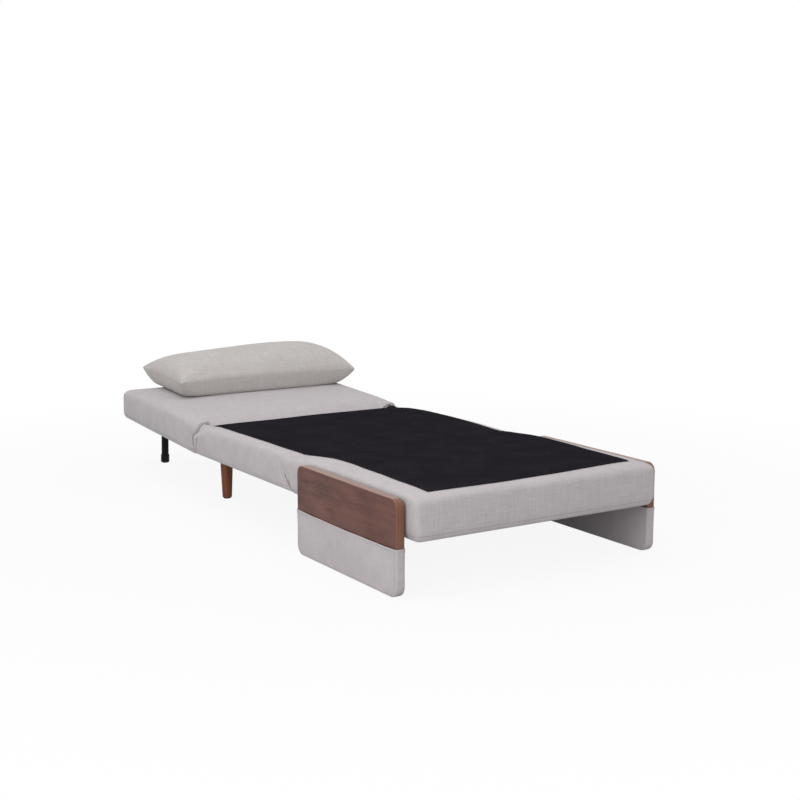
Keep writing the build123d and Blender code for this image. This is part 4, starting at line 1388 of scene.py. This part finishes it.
@dataclass
class Sleeve:
    """Linen sock pulled over the lower part of an arm board, with a turned hem."""

    side_name: str
    side: int
    inner: float = 0.3892
    outer: float = 0.4172
    front: float = -0.9422
    rear: float = -0.4349
    height: float = 0.125
    corner: float = 0.030
    edge_radius: float = 0.004
    floor_gap: float = 0.0002
    spare: float = 0.030
    voxel: float = 0.0045
    pressure: float = 2.0
    slack: float = 0.0015
    thickness: float = 0.0008
    hem_thickness: float = 0.0007
    hem_depth: float = 0.010
    stitch_inset: float = 0.003
    hem_dip: float = 0.003
    dip_span: tuple[float, float] = (-0.6885, 0.252)
    fold: float = 0.0005
    drawn_in: float = 0.0012
    seam_inset: float = 0.009
    ease_off: float = 0.0006
    reach: float = 0.006

    @property
    def middle(self) -> float:
        """Distance of the sleeve's middle from the centre line."""
        return (self.inner + self.outer) / 2

    def sock(self, name: str) -> bpy.types.Object:
        """Model the closed block of the sleeve and swell it a little.

        Args:
            name: The piece's name.

        Returns:
            The block, taller than the sleeve.
        """
        low_x, high_x = sorted((self.side * self.inner, self.side * self.outer))
        obj = block(name, (low_x, self.front, self.floor_gap), (high_x, self.rear, self.height + self.spare))
        with editing(obj):
            pick_edges(obj, lambda a, b: abs(a.x - b.x) > 0.01 and max(a.z, b.z) < 0.01)
            bpy.ops.mesh.bevel(offset=self.corner, segments=12, profile=0.5, affect="EDGES")
            bpy.ops.mesh.select_all(action="DESELECT")
            pick_edges(obj, lambda a, b: abs(a.x - b.x) < 1e-5)
            bpy.ops.mesh.bevel(offset=self.edge_radius, segments=4, profile=0.5, affect="EDGES")
        apply_modifier(obj, "REMESH", mode="VOXEL", voxel_size=self.voxel)
        apply_modifier(obj, "SMOOTH", factor=0.5, iterations=3)
        with editing(obj, "FACE"):
            pick_faces(obj, lambda centre, normal: centre.z < 2 * self.voxel)
            bpy.ops.mesh.subdivide(number_cuts=3)
        return obj

    def hold(self, places: np.ndarray) -> np.ndarray:
        """Say where the cloth is held: along the narrow sides, and above the hem.

        Args:
            places: The points, as rows.

        Returns:
            Each point's hold, from 0 to 1.
        """
        x, y, z = places.T
        ends = 1 - ease(np.minimum(y - self.front, self.rear - y), 0.004, 0.03)
        base = 1 - ease(z, 0.004, 0.03)
        return np.maximum(np.maximum(ends, base), ease(z, self.height + 0.01, self.height + 0.02))

    def relax(self, obj: bpy.types.Object) -> None:
        """Give the cloth its slack folds and its drawn-in ends.

        Args:
            obj: The sleeve's shell.
        """
        p = points(obj)
        x, y, z = p.T
        outward = np.sign(np.abs(x) - self.middle) * self.side
        face = np.abs(np.abs(x) - self.middle) / ((self.outer - self.inner) / 2)
        inner_share, fine_share = 0.35, 0.6
        wave = np.sin(y * 31.0 + 2.0 * self.side) + fine_share * np.sin(y * 67.0 + z * 40.0)
        outside = np.where(outward * self.side > 0, 1.0, inner_share)
        p[:, 0] += outward * self.fold * wave * ease(face, 0.7, 1.0) * outside * ease(z, 0.0, 0.06)
        end = (y - (self.front + self.rear) / 2) / ((self.rear - self.front) / 2)
        waist = np.sin(np.clip(z / self.height, 0, 1) * math.pi)
        p[:, 1] -= self.drawn_in * np.sign(end) * ease(np.abs(end), 0.9, 1.0) * waist
        self.clear(p)
        move_points(obj, p)

    def clear(self, places: np.ndarray) -> None:
        """Push the cloth off the board's lower edges, where its own rounding would cut into them.

        Args:
            places: The sleeve's points, as rows, which are changed.
        """
        low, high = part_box(f"arm_board_{self.side_name}")
        radius = self.corner - 0.002
        middle, half = (low[0] + high[0]) / 2, (high[0] - low[0]) / 2
        beside = np.abs(places[:, 0] - middle) - half
        outside, at_corner = self.outline(places, low[2], low[1], high[1], radius)
        caught = (beside < self.ease_off) & (np.abs(outside) < self.reach) & (outside < self.ease_off)
        sideways = caught & (beside > -self.reach) & (beside >= outside)
        places[sideways, 0] = middle + np.sign(places[sideways, 0] - middle) * (half + self.ease_off)
        downward = caught & ~sideways & ~at_corner & (places[:, 2] < low[2] + self.reach)
        places[downward, 2] = low[2] - self.ease_off
        rounding = caught & ~sideways & at_corner
        y, z = places[rounding, 1], places[rounding, 2]
        centre_y = np.where(y < (low[1] + high[1]) / 2, low[1] + radius, high[1] - radius)
        centre_z = low[2] + radius
        share = (radius + self.ease_off) / np.hypot(y - centre_y, z - centre_z)
        places[rounding, 1] = centre_y + (y - centre_y) * share
        places[rounding, 2] = centre_z + (z - centre_z) * share

    @staticmethod
    def outline(places: np.ndarray, base: float, front: float, rear: float,
                radius: float) -> tuple[np.ndarray, np.ndarray]:
        """Say how far points lie outside an outline with two rounded lower corners.

        Args:
            places: The points, as rows.
            base: Height of the outline's lower edge.
            front: Its lowest y.
            rear: Its highest y.
            radius: The corners' radius.

        Returns:
            The distances, below 0 inside, and whether each point is level with a corner.
        """
        y, z = places[:, 1], places[:, 2]
        across = np.maximum(np.maximum(front + radius - y, y - rear + radius), 0)
        up = np.maximum(base + radius - z, 0)
        at_corner = (across > 0) & (up > 0)
        straight = np.maximum(np.maximum(front - y, y - rear), base - z)
        return np.where(at_corner, np.hypot(across, up) - radius, straight), at_corner

    def cut(self, obj: bpy.types.Object, level: float, above: bool) -> None:
        """Cut the shell level and drop one side.

        Args:
            obj: The shell.
            level: The height of the cut.
            above: Whether what lies above goes.
        """
        with editing(obj):
            bpy.ops.mesh.select_all(action="SELECT")
            bpy.ops.mesh.bisect(plane_co=(0, 0, level), plane_no=(0, 0, 1), clear_outer=above,
                                clear_inner=not above)

    def build(self) -> bpy.types.Object:
        """Make the sleeve and its hem and put them on the foot section.

        Returns:
            The finished sleeve.
        """
        obj = self.sock(f"sleeve_{self.side_name}")
        inflate(obj, self.pressure, self.slack, self.hold)
        self.relax(obj)
        self.cut(obj, self.height, True)
        activate(obj)
        bpy.ops.object.duplicate()
        hem = bpy.context.object
        hem.name = hem.data.name = f"sleeve_hem_{self.side_name}"
        self.cut(hem, self.height - self.hem_depth, False)
        apply_modifier(hem, "SOLIDIFY", thickness=self.hem_thickness, offset=1.0)
        apply_modifier(obj, "SOLIDIFY", thickness=self.thickness, offset=-1.0)
        for piece in (obj, hem):
            p = points(piece)
            dip = self.hem_dip * (1 - ((p[:, 1] - self.dip_span[0]) / self.dip_span[1]) ** 2)
            p[:, 2] -= dip * ease(p[:, 2], 0.05, self.height)
            move_points(piece, p)
            self.seams(piece, piece is hem)
            smooth(piece, angle=50.0)
            Finishes.SECTION.dress(piece)
            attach(piece, "foot")
        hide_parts(f"arm_sleeve_{self.side_name}")
        LOG.info("%s and its hem", obj.name)
        return obj

    def seams(self, obj: bpy.types.Object, is_hem: bool) -> None:
        """Mark the boxing seam round the faces, or the hem's stitch line.

        Args:
            obj: The sleeve or the hem.
            is_hem: Whether it is the hem.
        """
        p = points(obj)
        if is_hem:
            set_seam_and_crease_shade(obj, np.abs(p[:, 2] - (self.height - self.hem_depth + self.stitch_inset)))
            return
        inset = self.seam_inset
        distance, _ = self.outline(p, inset, self.front + inset, self.rear - inset, self.corner - inset)
        on_face = np.abs(np.abs(p[:, 0]) - self.middle) > (self.outer - self.inner) * 0.40
        set_seam_and_crease_shade(obj, np.where(on_face, np.abs(distance), 1.0))


@dataclass
class Pillow:
    """Loose pillow, sewn along its edge, with its corners drawn to points."""

    centre: tuple[float, float] = (0.055, 0.7985)
    length: float = 0.688
    depth: float = 0.343
    height: float = 0.132
    seam_level: float = 0.054
    rest: float = TOP + 0.0036
    slab: float = 0.010
    edge: float = 0.002
    nose: float = 0.015
    lean: float = 0.21
    sag: float = 0.022
    lean_span: tuple[float, float] = (-0.35, 0.75)
    waists: tuple[float, float] = (0.030, 0.070)
    waist_powers: tuple[float, float] = (2.4, 4.0)
    upper: tuple[float, float] = (6.0, 2.5)
    lower_left: float = 8.0
    lower_right: float = 4.5
    lower_depth: float = 6.0
    foot: float = 0.006
    voxel: float = 0.006
    pressure: float = 3.0
    swell: float = 0.004

    def outward(self, u: np.ndarray, v: np.ndarray) -> tuple[np.ndarray, np.ndarray]:
        """Draw the sides in between the corners.

        Args:
            u: Shares of the half length, from -1 to 1.
            v: Shares of the half depth.

        Returns:
            The points' x and y.
        """
        bow_u = 1 - self.waists[0] * (1 - np.abs(v) ** self.waist_powers[0]) * ease(np.abs(u), 0.5, 1.0)
        bow_v = 1 - self.waists[1] * (1 - np.abs(u) ** self.waist_powers[1]) * ease(np.abs(v), 0.4, 1.0)
        return (self.centre[0] + u * bow_u * self.length / 2, self.centre[1] + v * bow_v * self.depth / 2)

    def profile(self, obj: bpy.types.Object) -> None:
        """Shape a flat slab into the pillow: a full top, a sagging underside and a blunt seam.

        Args:
            obj: The remeshed slab.
        """
        p = points(obj)
        u = (p[:, 0] - self.centre[0]) / (self.length / 2)
        v = (p[:, 1] - self.centre[1]) / (self.depth / 2)
        middle = self.rest + self.seam_level
        side = np.clip((p[:, 2] - self.rest - self.seam_level) / self.slab, -1, 1)
        p[:, 0], p[:, 1] = self.outward(u, v)
        full_u, full_v = [np.clip(1 - np.abs(w) ** power, 0, 1) for w, power in zip((u, v), self.upper)]
        lean = 1 - self.lean * ease(-u, *self.lean_span)
        up = (self.height - self.seam_level) * full_u ** 0.5 * full_v ** 0.6 * lean + self.edge
        under_u = np.clip(1 - np.abs(u) ** np.where(u < 0, self.lower_left, self.lower_right), 0, 1)
        under_v = np.clip(1 - np.abs(v) ** self.lower_depth, 0, 1)
        down = (self.seam_level + self.sag) * under_u ** 0.5 * under_v ** 0.5 + self.edge
        nose = self.nose * (1 - np.abs(u) ** 4) * (np.abs(v) > 0.5)
        up, down = [(part ** 4 + nose ** 4) ** 0.25 for part in (up, down)]
        p[:, 2] = middle + np.where(side > 0, side * up, side * down)
        low = self.rest + self.foot
        flattened = self.rest + self.foot * np.exp((p[:, 2] - low) / self.foot)
        p[:, 2] = np.where(p[:, 2] < low, flattened, p[:, 2])
        move_points(obj, p)

    def build(self) -> bpy.types.Object:
        """Make the pillow and put it on its body.

        Returns:
            The finished pillow.
        """
        middle = (*self.centre, self.rest + self.seam_level)
        half = (self.length / 2, self.depth / 2, self.slab)
        obj = block("pillow", [m - h for m, h in zip(middle, half)], [m + h for m, h in zip(middle, half)])
        apply_modifier(obj, "REMESH", mode="VOXEL", voxel_size=self.voxel)
        self.profile(obj)
        apply_modifier(obj, "SMOOTH", factor=0.5, iterations=3)
        inflate(obj, self.pressure, self.swell,
                lambda q: 1 - ease(q[:, 2], self.rest + 0.001, self.rest + 0.02))
        apply_modifier(obj, "SUBSURF", levels=1, render_levels=1)
        p = points(obj)
        p[:, 2] = np.maximum(p[:, 2], self.rest)
        move_points(obj, p)
        set_seam_and_crease_shade(obj, np.abs(p[:, 2] - self.rest - self.seam_level))
        obj.data.transform(HEAD_TURN)
        smooth(obj, angle=70.0)
        Finishes.PILLOW.dress(obj)
        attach(obj, "pillow")
        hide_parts("pillow_cover", "pillow_filling")
        LOG.info("%s: %d points", obj.name, len(obj.data.vertices))
        return obj


# --- Construction that the frame carries over ---


@dataclass
class Construction:
    """The carried-over hard parts, each with its finish."""

    finishes: dict[str, Finishes] = field(default_factory=lambda: {
        "arm_board": Finishes.BOARD, "leg_front": Finishes.LEG, "leg_rear": Finishes.LEG,
        "leg_glides": Finishes.BLACK_PLASTIC, "leg_bolts": Finishes.ZINC,
        "head_leg_tube": Finishes.POWDER_COAT, "head_leg_feet": Finishes.BLACK_PLASTIC,
        "head_leg_clamps": Finishes.POWDER_COAT, "clamp_screws": Finishes.ZINC,
        "springs": Finishes.SPRING, "spring_clips": Finishes.ZINC, "frame": Finishes.FRAME,
        "webbing": Finishes.WEBBING, "dust_cover": Finishes.BLACK_CLOTH, "sleep_panel": Finishes.BLACK_CLOTH,
        "foam": Finishes.FOAM, "top_pad": Finishes.FOAM, "cover": Finishes.SECTION,
        "sleeve": Finishes.SECTION, "pillow_cover": Finishes.PILLOW, "pillow_filling": Finishes.FIBRE,
    })

    def dress(self) -> None:
        """Give every carried-over node its finish, by the longest name that fits."""
        for name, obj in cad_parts.items():
            fits = [key for key in self.finishes if key in name]
            finish = self.finishes[max(fits, key=len)] if fits else Finishes.ZINC
            finish.dress(obj)
        LOG.info("construction: %d nodes dressed", len(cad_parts))


# --- Stage ---


@dataclass
class Stage:
    """Plain pale floor, soft lights and the camera."""

    camera_place: Point = (-2.153, -3.6946, 1.014)
    pitch: float = 80.88
    yaw: float = -32.40
    lens: float = 62.73
    sensor: float = 36.0
    floor_size: float = 60.0
    floor_tone: float = 0.66
    even_light: float = 0.67
    fade_reach: tuple[float, float] = (0.9, 2.6)
    fade_start: float = 0.91

    def floor(self) -> None:
        """Lay the floor, which keeps the object's shadow, fades to white and is clear from below."""
        bpy.ops.object.select_all(action="DESELECT")
        bpy.ops.mesh.primitive_plane_add(size=self.floor_size, location=(0, 0, 0))
        obj = bpy.context.object
        obj.name = obj.data.name = "studio_floor"
        paper = bpy.data.materials.new("studio_paper")
        paper.use_nodes = True
        nodes = Nodes(paper.node_tree)
        matt = nodes.add("BsdfDiffuse")
        nodes.fill(matt, {"Color": (self.floor_tone, self.floor_tone, self.floor_tone, 1.0)})
        white = nodes.add("Emission")
        distance = nodes.add("VectorMath", operation="LENGTH")
        nodes.put(nodes.add("TexCoord").outputs["Object"], distance.inputs[0])
        fade = nodes.range(distance.outputs["Value"], *self.fade_reach, self.fade_start, 1.0)
        seen = nodes.math("MULTIPLY", nodes.background_rays(), fade)
        above, final = nodes.add("MixShader"), nodes.add("MixShader")
        below = nodes.add("NewGeometry").outputs["Backfacing"]
        clear = nodes.add("BsdfTransparent").outputs[0]
        for mix, sources in ((above, (seen, matt.outputs[0], white.outputs[0])),
                             (final, (below, above.outputs[0], clear))):
            for index, source in enumerate(sources):
                nodes.put(source, mix.inputs[index])
        nodes.put(final.outputs[0], nodes.add("OutputMaterial").inputs[0])
        obj.data.materials.append(paper)

    def world(self) -> None:
        """Set the even light all round, white where the camera sees it."""
        world = bpy.data.worlds.new("studio")
        bpy.context.scene.world = world
        world.use_nodes = True
        nodes = Nodes(world.node_tree)
        strength = nodes.math("MULTIPLY_ADD", nodes.background_rays(), 1.0 - self.even_light, self.even_light)
        back = nodes.add("Background")
        nodes.fill(back, {"Color": (1.0, 1.0, 1.0, 1.0), "Strength": strength})
        nodes.put(back.outputs[0], nodes.add("OutputWorld").inputs[0])

    def lamp(self, name: str, place: Point, aim: Point, size: float, power: float) -> None:
        """Add a soft square lamp.

        Args:
            name: The lamp's name.
            place: Where it hangs.
            aim: What it points at.
            size: Length of its side.
            power: Its power in watts.
        """
        light = bpy.data.lights.new(name, "AREA")
        light.size = size
        light.energy = power
        obj = bpy.data.objects.new(name, light)
        bpy.context.scene.collection.objects.link(obj)
        obj.location = place
        obj.rotation_euler = (Vector(aim) - Vector(place)).to_track_quat("-Z", "Y").to_euler()

    def camera(self) -> None:
        """Set the camera at the viewing angle."""
        data = bpy.data.cameras.new("camera")
        data.lens = self.lens
        data.sensor_width = self.sensor
        obj = bpy.data.objects.new("camera", data)
        bpy.context.scene.collection.objects.link(obj)
        obj.location = self.camera_place
        obj.rotation_euler = (math.radians(self.pitch), 0.0, math.radians(self.yaw))
        bpy.context.scene.camera = obj

    def build(self) -> None:
        """Set up the camera, the floor, the even light and two lamps."""
        bpy.context.scene.view_settings.view_transform = "Standard"
        self.camera()
        self.floor()
        self.world()
        self.lamp("overhead", place=(-0.4, -0.2, 3.4), aim=(0, 0, 0.2), size=3.2, power=41.0)
        self.lamp("front_left", place=(-3.0, -2.6, 1.9), aim=(0, -0.2, 0.2), size=2.4, power=51.0)
        LOG.info("stage set")


def sections() -> list[Section]:
    """Size the three upholstered sections.

    Returns:
        The base, foot and head section.
    """
    fold_creases = (
        ((-0.255, 0.232), (-0.300, 0.190), 0.0080, 0.0030),
        ((-0.288, 0.202), (-0.338, 0.144), 0.0042, 0.0065),
        ((-0.264, 0.206), (-0.314, 0.150), 0.0070, 0.0034),
        ((-0.318, 0.184), (-0.345, 0.142), 0.0034, 0.0055),
    )
    seam_crease = ((0.292, 0.216), (0.308, 0.144), 0.0042, 0.0070)
    head_crease = ((0.326, 0.212), (0.324, 0.164), 0.0040, 0.0065)
    base_levels = ((-0.334, 0.0008), (-0.27, 0.0025), (-0.18, 0.0045), (0.0, 0.0040), (0.10, 0.0018),
                   (0.18, -0.0025), (0.24, -0.0092), (0.28, -0.0150), (0.318, -0.0200))
    foot_levels = ((-0.98, 0.0085), (-0.90, 0.0110), (-0.58, 0.0115), (-0.48, 0.0095), (-0.40, 0.0040),
                   (-0.333, 0.0008))
    head_levels = ((0.317, -0.0200), (0.326, -0.0140), (0.340, -0.0060), (0.365, 0.0005), (0.45, 0.0018),
                   (0.70, 0.0000), (0.85, -0.0035), (0.93, -0.0060))
    return [
        Section("base_cushion", "base", ("base_cover", "base_foam"),
                low=(-HALF_WIDTH, -0.33325, 0.1432), high=(HALF_WIDTH, 0.3171, 0.2462), cut_ends=(True, True),
                levels=base_levels, crown=0.0022, slump=0.011, near_creases=(*fold_creases, seam_crease),
                far_creases=fold_creases[:1], keep=0.935),
        Section("foot_cushion", "foot", ("foot_cover", "foot_seat_foam", "foot_top_pad"),
                low=(-HALF_WIDTH, -0.97655, UNDERSIDE), high=(HALF_WIDTH, -0.33385, 0.2462),
                cut_ends=(False, True), levels=foot_levels, crown=0.0030, corner_radius=0.014,
                top_radius=0.019, bottom_radius=0.010, bulge=0.0045, keep=0.86),
        Section("head_cushion", "head", ("head_cover", "head_foam"),
                low=(-HALF_WIDTH, 0.3178, UNDERSIDE), high=(HALF_WIDTH, 0.92845, TOP), cut_ends=(True, False),
                levels=head_levels, crown=0.0015, boxed=True, near_creases=(head_crease,), tilt=True),
    ]


def sleep_cloth() -> SleepCloth:
    """Size the black cloth: each edge as places along the bed and how far out it lies there.

    Returns:
        The cloth.
    """
    near = ((-0.944, -0.327), (-0.90, -0.3315), (-0.80, -0.3305), (-0.67, -0.3245), (-0.56, -0.3235),
            (-0.515, -0.3225), (-0.475, -0.3265), (-0.43, -0.3305), (-0.375, -0.3330), (-0.32, -0.3370),
            (-0.27, -0.3450), (-0.19, -0.3500), (0.05, -0.3520), (0.17, -0.3470), (0.24, -0.3330),
            (0.315, -0.308))
    far = ((-0.930, 0.332), (-0.80, 0.331), (-0.65, 0.343), (-0.55, 0.349), (-0.45, 0.351), (-0.37, 0.346),
           (-0.27, 0.336), (-0.10, 0.341), (0.05, 0.348), (0.16, 0.350), (0.27, 0.349), (0.315, 0.328))
    foot = ((0.0, -0.943), (0.33, -0.949), (0.63, -0.943), (1.0, -0.929))
    return SleepCloth(near, far, foot)


def main() -> None:
    """Build the stage and every piece, in order."""
    logging.basicConfig(level=logging.INFO, format="%(name)s: %(message)s")
    Stage().build()
    Construction().dress()
    base, foot, _ = [section.build() for section in sections()]
    sleep_cloth().build([base, foot])
    for name, side in (("left", -1), ("right", 1)):
        Sleeve(name, side).build()
    Pillow().build()


if __name__ == "__main__":
    main()
